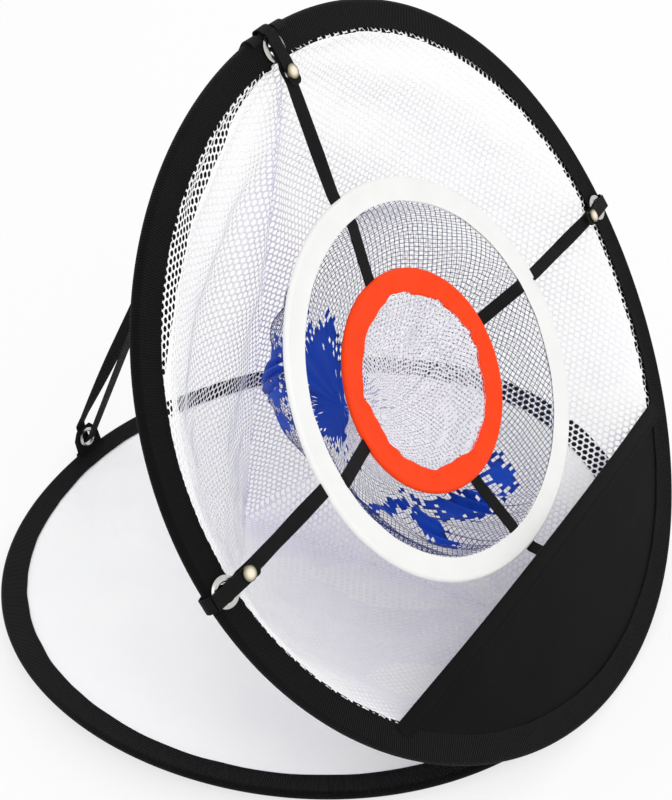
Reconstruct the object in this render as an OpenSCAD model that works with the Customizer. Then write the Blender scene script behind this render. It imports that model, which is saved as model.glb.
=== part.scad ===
// Pop-up golf chipping net: a target hoop leans back from a ground hoop, held by a rear strap.
// Frame: +Z up, +Y to the rear, ground at z = 0, the golfer stands on the -Y side.

/* [Hoops] */
// Outside diameter of the target hoop, over its binding
face_d = 520; // [500:1:540]
// Outside diameter of the ground hoop, over its binding
base_d = 508; // [490:1:520]
// Lean of the target hoop, measured from the ground
face_tilt = 58.7; // [54:0.1:62]
// Step from the ground hoop's front edge to the target hoop's lowest edge
hoop_gap = 8; // [8:0.5:12]
// Diameter of the spring wire in the target hoop and the ground hoop
wire_d = 4; // [3:0.5:4]
// Radial width of the black tape folded over each hoop
bind_w = 20; // [18:0.5:22]
// Greatest thickness of the binding, over the wire
bind_t = 7; // [6.8:0.1:8]
// How far the sides of the target hoop spring back from its mean plane
face_saddle = 10.8; // [0:0.1:12]
// How far the sides of the ground hoop lift, as half of their rise
base_saddle = 8.8; // [0:0.1:10]
// Turn of both saddles about the hoops' own axes
saddle_turn = -10; // [-15:1:15]

/* [Target rings] */
// Outside diameter of the white middle ring
mid_d = 282; // [274:1:288]
// Radial width of the middle ring's tape
mid_w = 17.3; // [15:0.1:19]
// Depth of the middle ring behind the target hoop's mean plane
mid_back = 9.5; // [6:0.5:14]
// Outside diameter of the orange inner ring
inner_d = 159; // [150:1:165]
// Radial width of the inner ring's tape
inner_w = 18; // [15:0.1:20]
// Depth of the inner ring behind the target hoop's mean plane
inner_back = 21.5; // [18:0.5:26]
// Thickness of both rings over their wires
ring_t = 5; // [4.6:0.1:6]
// Diameter of the wire in both rings
ring_wire_d = 3; // [2.5:0.1:3]

/* [Nets] */
// Thickness of the net solids
net_t = 0.6; // [0.5:0.1:0.7]
// Depth of the blue pocket behind the middle ring
blue_depth = 100; // [70:1:110]
// Droop of the blue pocket's end
blue_droop = 22; // [0:1:30]
// Depth of the white pocket behind the inner ring
white_depth = 66; // [50:1:75]
// Droop of the white pocket's end
white_droop = 24; // [0:1:30]
// Distance from the ground hoop's centre back to the foot of the catch net's rear edge
ridge_foot_y = 78; // [60:1:100]

/* [Front panel] */
// Distance from the target hoop's centre down to the panel's straight hem
panel_drop = 142.5; // [142:0.5:160]
// Thickness of the panel cloth
panel_t = 0.6; // [0.5:0.1:0.7]

/* [Straps and snaps] */
// Width of the elastic straps
strap_w = 10; // [9:0.5:10.5]
// Thickness of the elastic straps
strap_t = 0.9; // [0.8:0.1:1]
// Distance from the hoop's centre to the eyelets in the binding
eyelet_r = 247.5; // [247:0.1:248]
// Outside diameter of the eyelets' flanges
eyelet_d = 20; // [18:0.5:21]
// Clear hole through the eyelets
eyelet_hole = 11.6; // [11:0.1:12]
// Turn of the upper strap about the target's centre, off the top
top_turn = 2.5; // [0:0.5:4]
// Turn of the right-hand strap about the target's centre
right_turn = 2; // [0:0.5:4]
// Distance from the hoop's centre to the press studs
snap_r = 230; // [228:0.5:231]
// Diameter of the press studs' caps
cap_d = 10; // [9:0.5:11]
// Width of the tab that carries the rear eyelet
tab_w = 26; // [22:1:28]
// Distance of that tab to the right of the middle
tab_x = 6; // [0:0.5:8]
// Distance along the tab from the ground hoop's wire to the rear eyelet
rear_eyelet_s = 14; // [14:0.5:18]
// Outside diameter of the rear eyelet's flanges
rear_eyelet_d = 18; // [17:0.5:19]

/* [Hidden] */

black = "#1b1b1d";
steel = "#c9c9c4";

$fn = 48;
hoop_steps = 72;            // straight steps round each saddle-shaped hoop
face_r = face_d / 2;
base_r = base_d / 2;
mid_r = mid_d / 2;
inner_r = inner_d / 2;
bind_r = bind_t / 2;
leg_t = 0.9;                // thickness of one folded leg of the binding
slot = 0.9;                 // half of the gap between the two legs, which holds cloth and net
seam = 5;                   // how far cloth and net reach in between the legs
air = 0.15;                 // play between layers that lie on each other
base_y = (hoop_gap - 2.9) / 2;              // centres the object's outline on the origin
base_c = [0, base_y, 0];
ex = [1, 0, 0];
eu = [0, cos(face_tilt), sin(face_tilt)];   // up the target's face
en = [0, -sin(face_tilt), cos(face_tilt)];  // out of the face, towards the golfer

// Offset of the saddle at angle a and radius r from the hoop's mean plane.
function face_w(a, r) = -face_saddle * pow(r / face_r, 2) * cos(2 * (a - saddle_turn));
foot = [0, base_y - base_r - hoop_gap, bind_r * (1 - sin(face_tilt)) + 0.05];
face_c = foot + face_r * eu - face_w(-90, face_r) * en;
function face_pt(a, r, off = 0) =
    face_c + r * cos(a) * ex + r * sin(a) * eu + (face_w(a, r) + off) * en;

// Height of the ground hoop's middle surface: flat on the ground along a central strip.
flat_half = 60;
function lift(a, r) = let (s = max(0, abs(r * cos(a - saddle_turn)) - flat_half) / (base_r - flat_half))
    2 * base_saddle * s * s;
function base_pt(a, r, off = 0) = base_c + [r * cos(a), r * sin(a), bind_r + lift(a, r) + off];

function unit(v) = v / norm(v);
function lerp(p, q, t) = p + (q - p) * t;

// ---- shapes used more than once -------------------------------------------------------------

// Folded tape as one closed outline: x runs inwards from the hoop's outer edge, y through it.
// Its two legs wrap the wire and hold a slot open for the cloth.
function tape(w, rr, wire_r, gap, leg) =
    let (ch = wire_r + 0.45, mouth = sqrt(ch * ch - gap * gap))
    [[w, gap + leg], [0.45 * w, 0.9 * rr], [rr, rr], [0.29 * rr, 0.71 * rr],
     [0, 0], [0.29 * rr, -0.71 * rr], [rr, -rr], [0.45 * w, -0.9 * rr], [w, -gap - leg],
     [w, -gap], [rr + mouth, -gap], [rr, -ch], [rr - 0.71 * ch, -0.71 * ch],
     [rr - ch, 0], [rr - 0.71 * ch, 0.71 * ch], [rr, ch], [rr + mouth, gap], [w, gap]];

function round_outline(r, n) = [for (k = [0 : n - 1]) [r * cos(360 * k / n), r * sin(360 * k / n)]];

// A closed tube through rings of points; every ring has the same number of points.
module ring_tube(rings) {
    n = len(rings);
    m = len(rings[0]);
    polyhedron(points = [for (ring = rings) each ring],
        faces = [for (i = [0 : n - 1], j = [0 : m - 1])
            let (a = i * m + j, b = i * m + (j + 1) % m,
                 c = ((i + 1) % n) * m + j, d = ((i + 1) % n) * m + (j + 1) % m)
            each [[a, b, d], [a, d, c]]]);
}

// A sheet with thickness, from two grids of points, the front one and the back one.
module sheet_solid(front, back) {
    n = len(front);
    m = len(front[0]);
    off = n * m;
    function id(i, j) = i * m + j;
    walls = concat(
        [for (i = [0 : n - 2]) [id(i, 0), id(i + 1, 0)]], [for (j = [0 : m - 2]) [id(n - 1, j), id(n - 1, j + 1)]],
        [for (i = [n - 1 : -1 : 1]) [id(i, m - 1), id(i - 1, m - 1)]], [for (j = [m - 1 : -1 : 1]) [id(0, j), id(0, j - 1)]]);
    polyhedron(points = concat([for (row = front) each row], [for (row = back) each row]),
        faces = concat(
            [for (i = [0 : n - 2], j = [0 : m - 2])
                each [[id(i, j), id(i, j + 1), id(i + 1, j + 1)], [id(i, j), id(i + 1, j + 1), id(i + 1, j)]]],
            [for (i = [0 : n - 2], j = [0 : m - 2])
                each [[off + id(i, j), off + id(i + 1, j + 1), off + id(i, j + 1)],
                      [off + id(i, j), off + id(i + 1, j), off + id(i + 1, j + 1)]]],
            [for (e = walls) each [[e[0], e[1], off + e[1]], [e[0], off + e[1], off + e[0]]]]));
}

// A net pocket: a cup whose rings shrink to an end point, with an outer and an inner wall.
module cup_solid(outer, inner, outer_end, inner_end) {
    n = len(outer);
    m = len(outer[0]);
    off = n * m;
    pole = 2 * off;
    polyhedron(points = concat([for (r = outer) each r], [for (r = inner) each r], [outer_end, inner_end]),
        faces = concat(
            [for (i = [0 : n - 2], j = [0 : m - 1]) let (k = (j + 1) % m)
                each [[i * m + j, i * m + k, (i + 1) * m + k], [i * m + j, (i + 1) * m + k, (i + 1) * m + j]]],
            [for (i = [0 : n - 2], j = [0 : m - 1]) let (k = (j + 1) % m)
                each [[off + i * m + j, off + (i + 1) * m + k, off + i * m + k],
                      [off + i * m + j, off + (i + 1) * m + j, off + (i + 1) * m + k]]],
            [for (j = [0 : m - 1]) let (k = (j + 1) % m) each [[j, off + k, k], [j, off + j, off + k]]],
            [for (j = [0 : m - 1]) [(n - 1) * m + j, (n - 1) * m + (j + 1) % m, pole]],
            [for (j = [0 : m - 1]) [off + (n - 1) * m + (j + 1) % m, off + (n - 1) * m + j, pole + 1]]));
}

// Places its children on the target's face: local +Y points outwards, +Z towards the golfer.
module on_face(a, r, off = 0)
    translate(face_pt(a, r, off)) rotate([face_tilt, 0, 0]) rotate([0, 0, a - 90])
        rotate([atan(2 * face_w(a, r) / r), 0, 0]) children();

// Places its children on the plane of a ring that lies "back" behind the target's mean plane.
module on_ring(back) translate(face_c - back * en) rotate([face_tilt, 0, 0]) children();

// A flat band as wide as a strap, along a path of (y, z) points, extruded along local X.
module band(path, w = strap_w, t = strap_t)
    rotate([90, 0, 90]) linear_extrude(w, center = true)
        for (i = [0 : len(path) - 2]) band_link(path[i], path[i + 1], t);

module band_link(p, q, t) {
    d = unit(q - p) * t / 2;
    s = [-d[1], d[0]];
    polygon([p - d + s, q + d + s, q + d - s, p - d - s]);
}

// ---- ground hoop ----------------------------------------------------------------------------

module base_wire() color(steel)
    ring_tube([for (i = [0 : hoop_steps - 1]) let (a = 360 * i / hoop_steps)
        [for (p = round_outline(wire_d / 2, 8)) base_pt(a, base_r - bind_r - p[0], p[1])]]);

module base_binding() color(black)
    ring_tube([for (i = [0 : hoop_steps - 1]) let (a = 360 * i / hoop_steps)
        [for (p = tape(bind_w, bind_r, wire_d / 2, slot, leg_t)) base_pt(a, base_r - p[0], p[1])]]);

// White cloth disc, sewn in between the legs of the tape; its middle sags to the ground.
base_cloth_t = 0.8;
cloth_rings = [flat_half, 110, 155, 195, 222, base_r - bind_w - 1, base_r - bind_w + seam];
function cloth_sag(r) = let (s = (r - flat_half) / (base_r - bind_w - flat_half))
    (bind_r - base_cloth_t / 2) * (1 - pow(max(0, min(1, s)), 2));

module base_panel() color("#f4f4f2")
    cup_solid([for (r = reverse(cloth_rings)) cloth_ring(r, -base_cloth_t / 2)],
              [for (r = reverse(cloth_rings)) cloth_ring(r, base_cloth_t / 2)],
              cloth_ring(0, -base_cloth_t / 2)[0], cloth_ring(0, base_cloth_t / 2)[0]);

function reverse(v) = [for (i = [len(v) - 1 : -1 : 0]) v[i]];
function cloth_ring(r, off) = [for (i = [0 : hoop_steps / 2 - 1])
    let (a = -720 * i / hoop_steps) base_pt(a, r, off - cloth_sag(r))];

// Strip of tape that joins the two bindings at the front and bends as the hinge.
// One edge follows the target's binding at the strip's own level, the other the ground binding.
web_half = 7;               // half of the strip's reach round the target hoop, in degrees
web_t = 0.8;
web_top = 3.1;
web_play = 0.4;
function web_edge(a) = let (p = face_pt(a, face_r - bind_r, -bind_r),
        q = face_pt(a, face_r - 0.45 * bind_w, -0.9 * bind_r),
        e = lerp(p, q, (web_top - p[2]) / (q[2] - p[2])))
    [e[0], e[1] + web_play];
web_rim = (base_r + air) / cos(1);                // its chords clear the ground binding
web_turn = asin(face_r * sin(web_half) / web_rim);
function web_base(b) = [web_rim * sin(b), base_y - web_rim * cos(b)];
module hinge_web() color(black)
    translate([0, 0, web_top - web_t]) linear_extrude(web_t)
        polygon(concat([for (a = [-90 - web_half : 2 : -90 + web_half]) web_edge(a)],
            [for (i = [6 : -1 : -6]) web_base(web_turn * i / 6)]));

// ---- rear strap -----------------------------------------------------------------------------

wrap_r = bind_r + 0.75;                            // inner radius of the webbing folded round a hoop
wrap_slot = 2 * wrap_r - 0.3;                      // room in such a fold for the hoop's own binding
tab_t = 2.4;                                       // doubled webbing
tab_lean = 80;                                     // the tab's slope from the ground, leaning to the rear
tab_end = rear_eyelet_s + 10.5;                    // length of the tab from the hoop's wire
tab_corner = 8;                                    // cut across the tab's free corners
tab_axis = [tab_x, base_pt(90, base_r - bind_r)[1], bind_r + lift(90, base_r)];
band_gap = tab_t / 2 + 2;                          // strap's middle surface off the tab's middle
bight_s = rear_eyelet_s - 2;                       // where the strap turns through the eyelet
run_turn = [90 + top_turn - 2.9, 90 + top_turn + 2.9];   // where its two runs meet the target hoop

// A point in the tab's own plane: s along the tab, n out of its front.
function tab_pt(s, n) = tab_axis + s * [0, cos(tab_lean), sin(tab_lean)]
    + n * [0, -sin(tab_lean), cos(tab_lean)];

// Webbing folded round a hoop's edge, open on the inward side for the hoop's binding.
module fold(w, t) difference() {
    rotate([0, 90, 0]) cylinder(h = w, r = wrap_r + t, center = true);
    rotate([0, 90, 0]) cylinder(h = w + 1, r = wrap_r, center = true);
    translate([-w, -bind_w, -wrap_slot / 2]) cube([2 * w, bind_w, wrap_slot]);
}

// A straight run of strap between two points, its width along X.
module run(p, q) {
    d = q - p;
    translate(p) rotate([0, 0, -atan2(d[0], d[1])]) rotate([atan2(d[2], norm([d[0], d[1]])), 0, 0])
        translate([-strap_w / 2, 0, -strap_t / 2]) cube([strap_w, norm(d), strap_t]);
}

// Webbing tab folded round the ground hoop; it stands up from the hoop and carries the eyelet.
module rear_tab() color(black) translate(tab_axis) difference() {
    rotate([90, 0, 90]) linear_extrude(tab_w, center = true) difference() {
        union() {
            circle(r = wrap_r + tab_t / 2);
            rotate(tab_lean) translate([0, -tab_t / 2]) square([tab_end, tab_t]);
        }
        circle(r = wrap_r);
        translate([-bind_w, -wrap_slot / 2]) square([bind_w, wrap_slot]);
        translate([-bind_w, 0.05 - tab_axis[2] - bind_w]) square([2 * bind_w, bind_w]);
    }
    rotate([tab_lean, 0, 0]) {
        translate([0, rear_eyelet_s, 0]) cylinder(h = 3 * tab_t, d = eyelet_hole + 1.4, center = true);
        for (s = [-1, 1]) translate([s * tab_w / 2, tab_end, 0]) rotate([0, 0, 45])
            cube([tab_corner, tab_corner, 3 * tab_t], center = true);
    }
}

// Rolled metal eyelet, its axis on local Z: a barrel with a curled flange on each side.
module eyelet(half_t, od, hole) color(steel) {
    curl = [[hole / 2, half_t + 0.6], [hole / 2 + 0.8, half_t + 1.1], [od / 2 - 1.4, half_t + 0.9],
            [od / 2, half_t + 0.3], [od / 2 - 0.5, half_t], [hole / 2 + 0.6, half_t]];
    rotate_extrude() polygon(concat(curl, [for (p = reverse(curl)) [p[0], -p[1]]]));
}

module rear_eyelet()
    translate(tab_pt(rear_eyelet_s, 0)) rotate([tab_lean, 0, 0])
        eyelet(tab_t / 2 + air, rear_eyelet_d, eyelet_hole);

// Strap from the target hoop's top down to the tab, through the eyelet and back up.
// Each run leaves its wrap at the rear of the hoop, on a tangent.
function off_wrap(p, top) = let (d = unit([0, top[1] - p[1], top[2] - p[2]]))
    top + (wrap_r + strap_t / 2) * [0, d[2], -d[1]];
module rear_strap() color("#222226") {
    low = [tab_pt(tab_end + 2, -band_gap), tab_pt(bight_s, band_gap)];
    for (i = [0, 1]) run(low[i], off_wrap(low[i], face_pt(run_turn[i], face_r - bind_r)));
    translate(tab_axis) rotate([tab_lean, 0, 0]) translate([-strap_w / 2, bight_s, -band_gap - strap_t / 2]) {
        cube([strap_w, strap_t, 2 * band_gap + strap_t]);
        cube([strap_w, tab_end + 2.4 - bight_s, strap_t]);
    }
    for (a = run_turn) on_face(a, face_r - bind_r) fold(strap_w, strap_t);
}

// ---- target hoop ----------------------------------------------------------------------------

module face_wire() color(steel)
    ring_tube([for (i = [0 : hoop_steps - 1]) let (a = 360 * i / hoop_steps)
        [for (p = round_outline(wire_d / 2, 8)) face_pt(a, face_r - bind_r - p[0], p[1])]]);

top_a = 90 + top_turn;
right_a = right_turn;
left_a = 180;

module face_binding() color(black) difference() {
    ring_tube([for (i = [0 : hoop_steps - 1]) let (a = 360 * i / hoop_steps)
        [for (p = tape(bind_w, bind_r, wire_d / 2, slot, leg_t)) face_pt(a, face_r - p[0], p[1])]]);
    eyelet_holes();
}
module eyelet_holes() for (a = [top_a, right_a, left_a])
    on_face(a, eyelet_r) cylinder(h = 20, d = eyelet_hole + 1.5, center = true);

// Black cloth across the bottom of the face, from the straight hem to the binding.
panel_cols = 24;
panel_rows = 4;
function panel_grid(off) = let (rim = face_r - bind_w + seam, half = sqrt(rim * rim - panel_drop * panel_drop))
    [for (i = [0 : panel_cols]) let (x = half * (2 * i / panel_cols - 1) * 0.995, low = sqrt(rim * rim - x * x))
        [for (j = [0 : panel_rows]) let (u = -lerp(panel_drop, low, j / panel_rows))
            face_pt(atan2(u, x), norm([x, u]), off)]];
module front_panel() color(black)
    sheet_solid(panel_grid(air + panel_t), panel_grid(air));

// ---- catch net ------------------------------------------------------------------------------

net_rim = face_r - bind_w + seam;
net_open = face_r - bind_w - 1.5;          // where the net leaves the binding
net_level = -air - net_t;                  // the net lies behind the panel's cloth in the binding
net_rows = 24;
net_cols = 9;                 // steps from the rim to the rear edge on each side
ridge_z = 5;                  // height of the net's lowest part over the ground
ridge_top = face_pt(90, net_rim);
ridge_foot = [0, base_y + ridge_foot_y, ridge_z];
ridge_front = face_pt(-90, net_rim - 4) + [0, 5, 2];
ridge_bend = 0.62;            // share of the rows that end on the rear edge; the rest end on the ground

// The net's rear edge: down from the top of the hoop, then forwards along the ground cloth.
function ridge(k) = k < ridge_bend ? lerp(ridge_top, ridge_foot, k / ridge_bend)
    : lerp(ridge_foot, ridge_front, (k - ridge_bend) / (1 - ridge_bend));

// The net between hoop and rear edge at row k (0 top, 1 bottom) and s (-1 left rim, 0 rear, 1 right rim).
function rim_angle(k, side) = side > 0 ? 90 - 180 * k : 90 + 180 * k;
function net_pt(k, s) =
    let (side = s < 0 ? -1 : 1, t = 1 - abs(s), rim = face_pt(rim_angle(k, side), net_open, net_level),
         bow = 26 * sin(180 * t) * pow(sin(180 * k), 0.7))
    lerp(rim, ridge(k), t) + [side * bow * 0.55, bow * 0.75, -bow * 0.1 * (1 - k)];

function net_normal(k, s) = let (e = 0.01, s0 = max(-1, s - e), s1 = min(1, s + e))
    unit(cross(net_pt(k + e, s) - net_pt(k - e, s), net_pt(k, s1) - net_pt(k, s0)));
function net_row(k, off) = concat([face_pt(rim_angle(k, -1), net_rim, net_level + off)],
    [for (j = [-net_cols : net_cols]) net_pt(k, j / net_cols) + off * net_normal(k, j / net_cols)],
    [face_pt(rim_angle(k, 1), net_rim, net_level + off)]);
function net_grid(off) = [for (i = [0 : net_rows]) net_row(lerp(0.012, 0.988, i / net_rows), off)];
module catch_net() color("#f2f2f4", 0.5) difference() {
    sheet_solid(net_grid(net_t), net_grid(0));
    eyelet_holes();
    for (a = [top_a, right_a, left_a])
        on_face(a, eyelet_r) translate([0, 0, -15]) cylinder(h = 12.5, d = eyelet_d + 1);
}

// ---- straps, eyelets and press studs on the target hoop --------------------------------------

front_b = bind_r + 0.05;      // level of the eyelets' flanges on the binding
strap_top = front_b + 1.9;    // middle level of a strap where it crosses an eyelet's flange
snap_b = 3.4;                 // middle level of the strap under the press stud
wrap_out = face_r + 2.6;      // how far the strap's wrap stands off the hoop's edge
tail_hinge_r = face_r - 2;
tail_b = 7.0;                 // level of the tail's underside over the press stud
tail_tip_r = 221;
strap_play = 0.9;             // from a ring's edge to the middle of a strap's end
stud_play = 0.12;

module face_eyelet(a) on_face(a, eyelet_r) eyelet(front_b, eyelet_d, eyelet_hole);
module top_eyelet() face_eyelet(top_a);
module right_eyelet() face_eyelet(right_a);
module left_eyelet() face_eyelet(left_a);

// One strap: from the middle ring out to the hoop, down through the eyelet and round the hoop.
// Levels are measured on the face at the eyelet, so y is the distance from the eyelet's centre.
module outer_strap(a) color(black) {
    slope = atan(2 * face_w(a, eyelet_r) / eyelet_r);
    ring_y = mid_r + strap_play - eyelet_r;
    ring_level = -mid_back - face_w(a, eyelet_r);
    start = [ring_y * cos(slope) + ring_level * sin(slope), ring_level * cos(slope) - ring_y * sin(slope)];
    flange = eyelet_d / 2;
    on_face(a, eyelet_r) band([start, [snap_r - 6 - eyelet_r, snap_b], [-flange - 2.8, snap_b],
        [0.3 - flange, strap_top - 0.4], [0, strap_top], [0.4, -front_b - 2], [face_r - eyelet_r - 4, -front_b - 2],
        [wrap_out - eyelet_r, -2.4], [wrap_out - eyelet_r, 2.4], [face_r - eyelet_r - 1, front_b + 1.2]]);
}
module top_strap() outer_strap(top_a);
module right_strap() outer_strap(right_a);
module left_strap() outer_strap(left_a);

// The lower strap runs behind the front panel and is sewn to it.
bottom_end_r = 222;
module bottom_strap() color(black) {
    start = [-mid_r - strap_play, -mid_back];
    level = face_w(-90, bottom_end_r) - strap_t / 2 - air;
    hem = [-panel_drop - 10, face_w(-90, panel_drop + 10) - strap_t / 2 - 2 * air];
    on_ring(0) band([start, hem, [-bottom_end_r, level]]);
}

// Male half of a press stud, riveted through the strap.
module snap_stud(a) color(steel) on_face(a, snap_r) translate([0, 0, snap_b]) {
    translate([0, 0, strap_t / 2 + stud_play]) cylinder(h = 0.5, d = 8);
    translate([0, 0, strap_t / 2 + stud_play]) cylinder(h = 1.9, d = 3);
    translate([0, 0, -strap_t / 2 - stud_play - 0.6]) cylinder(h = 0.6, d = 8);
}
module top_stud() snap_stud(top_a);
module right_stud() snap_stud(right_a);
module left_stud() snap_stud(left_a);

// The free end of a strap: it folds back over the hoop and carries the press stud's female half.
module tail(a) color(black) on_face(a, snap_r)
    band([[tail_hinge_r - snap_r, front_b + 2.9], [5.5, tail_b + strap_t / 2], [tail_tip_r - snap_r, tail_b + strap_t / 2]]);
module top_tail() tail(top_a);
module right_tail() tail(right_a);
module left_tail() tail(left_a);

// Domed cap on the tail.
module snap_cap(a) color("#d8d2bf") on_face(a, snap_r) translate([0, 0, tail_b + strap_t])
    rotate_extrude() intersection() {
        translate([0, -cap_d]) circle(r = cap_d + 2.2, $fn = 96);
        translate([0, 0.05]) square([cap_d / 2, 4]);
    }
module top_snap_cap() snap_cap(top_a);
module right_snap_cap() snap_cap(right_a);
module left_snap_cap() snap_cap(left_a);

// Female half under the tail: a ring that closes over the stud.
module snap_socket(a) color(steel) on_face(a, snap_r) translate([0, 0, tail_b - 1.9]) difference() {
    cylinder(h = 1.88, d = 8.6);
    translate([0, 0, -1]) cylinder(h = 2.4, d = 3.6);
}
module top_snap_socket() snap_socket(top_a);
module right_snap_socket() snap_socket(right_a);
module left_snap_socket() snap_socket(left_a);

// ---- middle ring and inner ring ----------------------------------------------------------------

ring_slot = 0.5;
ring_leg = 0.7;
ring_seam = 4;
module ring_wire(r) color(steel)
    rotate_extrude($fn = 96) translate([r - ring_t / 2, 0]) circle(d = ring_wire_d, $fn = 24);
module ring_binding(r, w) rotate_extrude($fn = 96)
    polygon([for (p = tape(w, ring_t / 2, ring_wire_d / 2, ring_slot, ring_leg)) [r - p[0], p[1]]]);

module middle_ring_wire() on_ring(mid_back) ring_wire(mid_r);
module middle_ring_binding() color("#f6f3ec") on_ring(mid_back) ring_binding(mid_r, mid_w);
module inner_ring_wire() on_ring(inner_back) ring_wire(inner_r);
module inner_ring_binding() color("#ff4a14") on_ring(inner_back) ring_binding(inner_r, inner_w);

// A pocket: round walls that close at its depth, with the end drooping down the face.
pocket_steps = 32;
pocket_rings = 8;
function pocket_ring(r, depth, droop, t) = [for (i = [0 : pocket_steps - 1]) let (a = 360 * i / pocket_steps)
    [r * cos(a) * cos(90 * t), r * sin(a) * cos(90 * t) - droop * sin(90 * t), -depth * sin(90 * t)]];
module pocket(r, w, depth, droop) {
    rim = [for (z = [net_t / 2, -net_t / 2]) [for (i = [0 : pocket_steps - 1]) let (a = 360 * i / pocket_steps)
        [(r - w + ring_seam) * cos(a), (r - w + ring_seam) * sin(a), z]]];
    inner_wall = [for (i = [0 : pocket_rings - 1]) pocket_ring(r - w - 1, depth, droop, i / pocket_rings)];
    outer_wall = [for (i = [0 : pocket_rings - 1]) pocket_ring(r - w - 1 + net_t, depth + net_t, droop, i / pocket_rings)];
    cup_solid(concat([rim[1]], [for (ring = outer_wall) [for (p = ring) p - [0, 0, net_t / 2]]]),
              concat([rim[0]], [for (ring = inner_wall) [for (p = ring) p + [0, 0, net_t / 2]]]),
              [0, -droop, -depth - 1.5 * net_t], [0, -droop, -depth + net_t / 2]);
}
module blue_pocket() color("#1048b0", 0.6) on_ring(mid_back) pocket(mid_r, mid_w, blue_depth, blue_droop);
module white_pocket() color("#f2f2f4", 0.6) on_ring(inner_back) pocket(inner_r, inner_w, white_depth, white_droop);

// Elastic straps between the middle ring's inner edge and the inner ring's outer edge.
module inner_strap(a) color(black) on_ring(0) rotate([0, 0, a - 90])
    band([[inner_r + strap_play, -inner_back], [mid_r - mid_w - 1.1, -mid_back + net_t + strap_t / 2]]);
module inner_strap_top() inner_strap(90);
module inner_strap_right() inner_strap(0);
module inner_strap_left() inner_strap(180);
module inner_strap_bottom() inner_strap(-90);

base_wire();
base_binding();
base_panel();
hinge_web();
rear_tab();
rear_eyelet();
rear_strap();
face_wire();
face_binding();
front_panel();
catch_net();
top_eyelet();
right_eyelet();
left_eyelet();
top_strap();
right_strap();
left_strap();
bottom_strap();
top_stud();
right_stud();
left_stud();
top_tail();
right_tail();
left_tail();
top_snap_cap();
right_snap_cap();
left_snap_cap();
top_snap_socket();
right_snap_socket();
left_snap_socket();
middle_ring_wire();
middle_ring_binding();
blue_pocket();
inner_ring_wire();
inner_ring_binding();
white_pocket();
inner_strap_top();
inner_strap_right();
inner_strap_left();
inner_strap_bottom();
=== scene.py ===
# %% [markdown]
# # A pop-up golf chipping net
#
# The real thing is sewn, not moulded: two spring-wire hoops in folded black tape, a white ground
# cloth, a white knitted net that hangs from the target hoop, and two smaller rings on elastic
# straps, each with a net pocket behind it.
# The construction comes first, as fixed solids from the CAD model. This lesson dresses it: every
# textile piece is modelled again, in metres, exactly where its solid lies, and the metal pieces
# keep their solids and get a finish.

# %% Load the fixed frame
import math

import bpy
import numpy as np
from bpy import ops
from mathutils import Matrix, Vector, noise


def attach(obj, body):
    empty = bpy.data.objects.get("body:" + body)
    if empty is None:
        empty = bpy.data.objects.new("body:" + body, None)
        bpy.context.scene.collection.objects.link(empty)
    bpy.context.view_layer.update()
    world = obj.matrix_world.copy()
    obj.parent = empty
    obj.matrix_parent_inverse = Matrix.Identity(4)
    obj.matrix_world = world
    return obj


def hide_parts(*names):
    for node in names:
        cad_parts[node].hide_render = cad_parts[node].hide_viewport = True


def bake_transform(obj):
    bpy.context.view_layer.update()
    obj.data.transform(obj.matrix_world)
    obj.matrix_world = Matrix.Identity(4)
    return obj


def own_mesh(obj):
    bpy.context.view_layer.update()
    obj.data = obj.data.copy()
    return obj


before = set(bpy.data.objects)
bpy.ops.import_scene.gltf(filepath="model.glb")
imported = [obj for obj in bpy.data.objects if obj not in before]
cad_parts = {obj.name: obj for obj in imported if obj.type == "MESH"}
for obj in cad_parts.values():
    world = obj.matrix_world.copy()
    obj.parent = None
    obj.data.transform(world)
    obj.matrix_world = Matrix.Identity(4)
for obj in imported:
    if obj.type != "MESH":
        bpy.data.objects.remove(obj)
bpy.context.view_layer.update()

# %% [markdown]
# ## The two hoops as formulas
#
# A spring hoop with cloth pulled tight in it doesn't stay flat: it springs into a shallow saddle.
# All that is sewn to a hoop follows that saddle, so it is written once, as a function from an
# angle, a radius and a level to a point. Every piece is then built flat and put on its hoop with
# that function. Lengths are in millimetres, and become metres when a mesh is written.

# %% Sizes and the hoops' own coordinates
MM = 0.001
FACE_R = 260.0
BASE_R = 254.0
TILT = math.radians(58.7)
HOOP_GAP = 8.0
BASE_Y = 2.55
BIND_W = 20.0
BIND_R = 3.5
WIRE_R = 2.0
FACE_SADDLE = 10.8
BASE_SADDLE = 8.8
SADDLE_TURN = math.radians(-10)
FLAT_HALF = 60.0

ACROSS = np.array([1.0, 0.0, 0.0])
UP_FACE = np.array([0.0, math.cos(TILT), math.sin(TILT)])
OUT_FACE = np.array([0.0, -math.sin(TILT), math.cos(TILT)])


def face_saddle(angle, r):
    """Level of the target hoop's saddle over its mean plane."""
    return -FACE_SADDLE * (r / FACE_R) ** 2 * np.cos(2 * (angle - SADDLE_TURN))


FOOT = np.array([0.0, BASE_Y - BASE_R - HOOP_GAP, BIND_R * (1 - math.sin(TILT)) + 0.05])
FACE_C = FOOT + FACE_R * UP_FACE - face_saddle(-math.pi / 2, FACE_R) * OUT_FACE


def unit(x):
    """x, kept between 0 and 1."""
    return np.clip(x, 0, 1)


def on_plane(x, up, out):
    """A point from its place across, up and out of the target hoop's mean plane."""
    return (FACE_C + np.multiply.outer(x, ACROSS) + np.multiply.outer(up, UP_FACE)
            + np.multiply.outer(out, OUT_FACE))


def on_spoke(angle, r, level):
    """A point from its angle and radius in the target hoop's mean plane, and its level over it."""
    return on_plane(r * np.cos(angle), r * np.sin(angle), level)


def on_face(angle, r, level=0.0):
    """A point on the saddle of the target hoop."""
    return on_spoke(angle, r, face_saddle(angle, r) + level)


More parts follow.
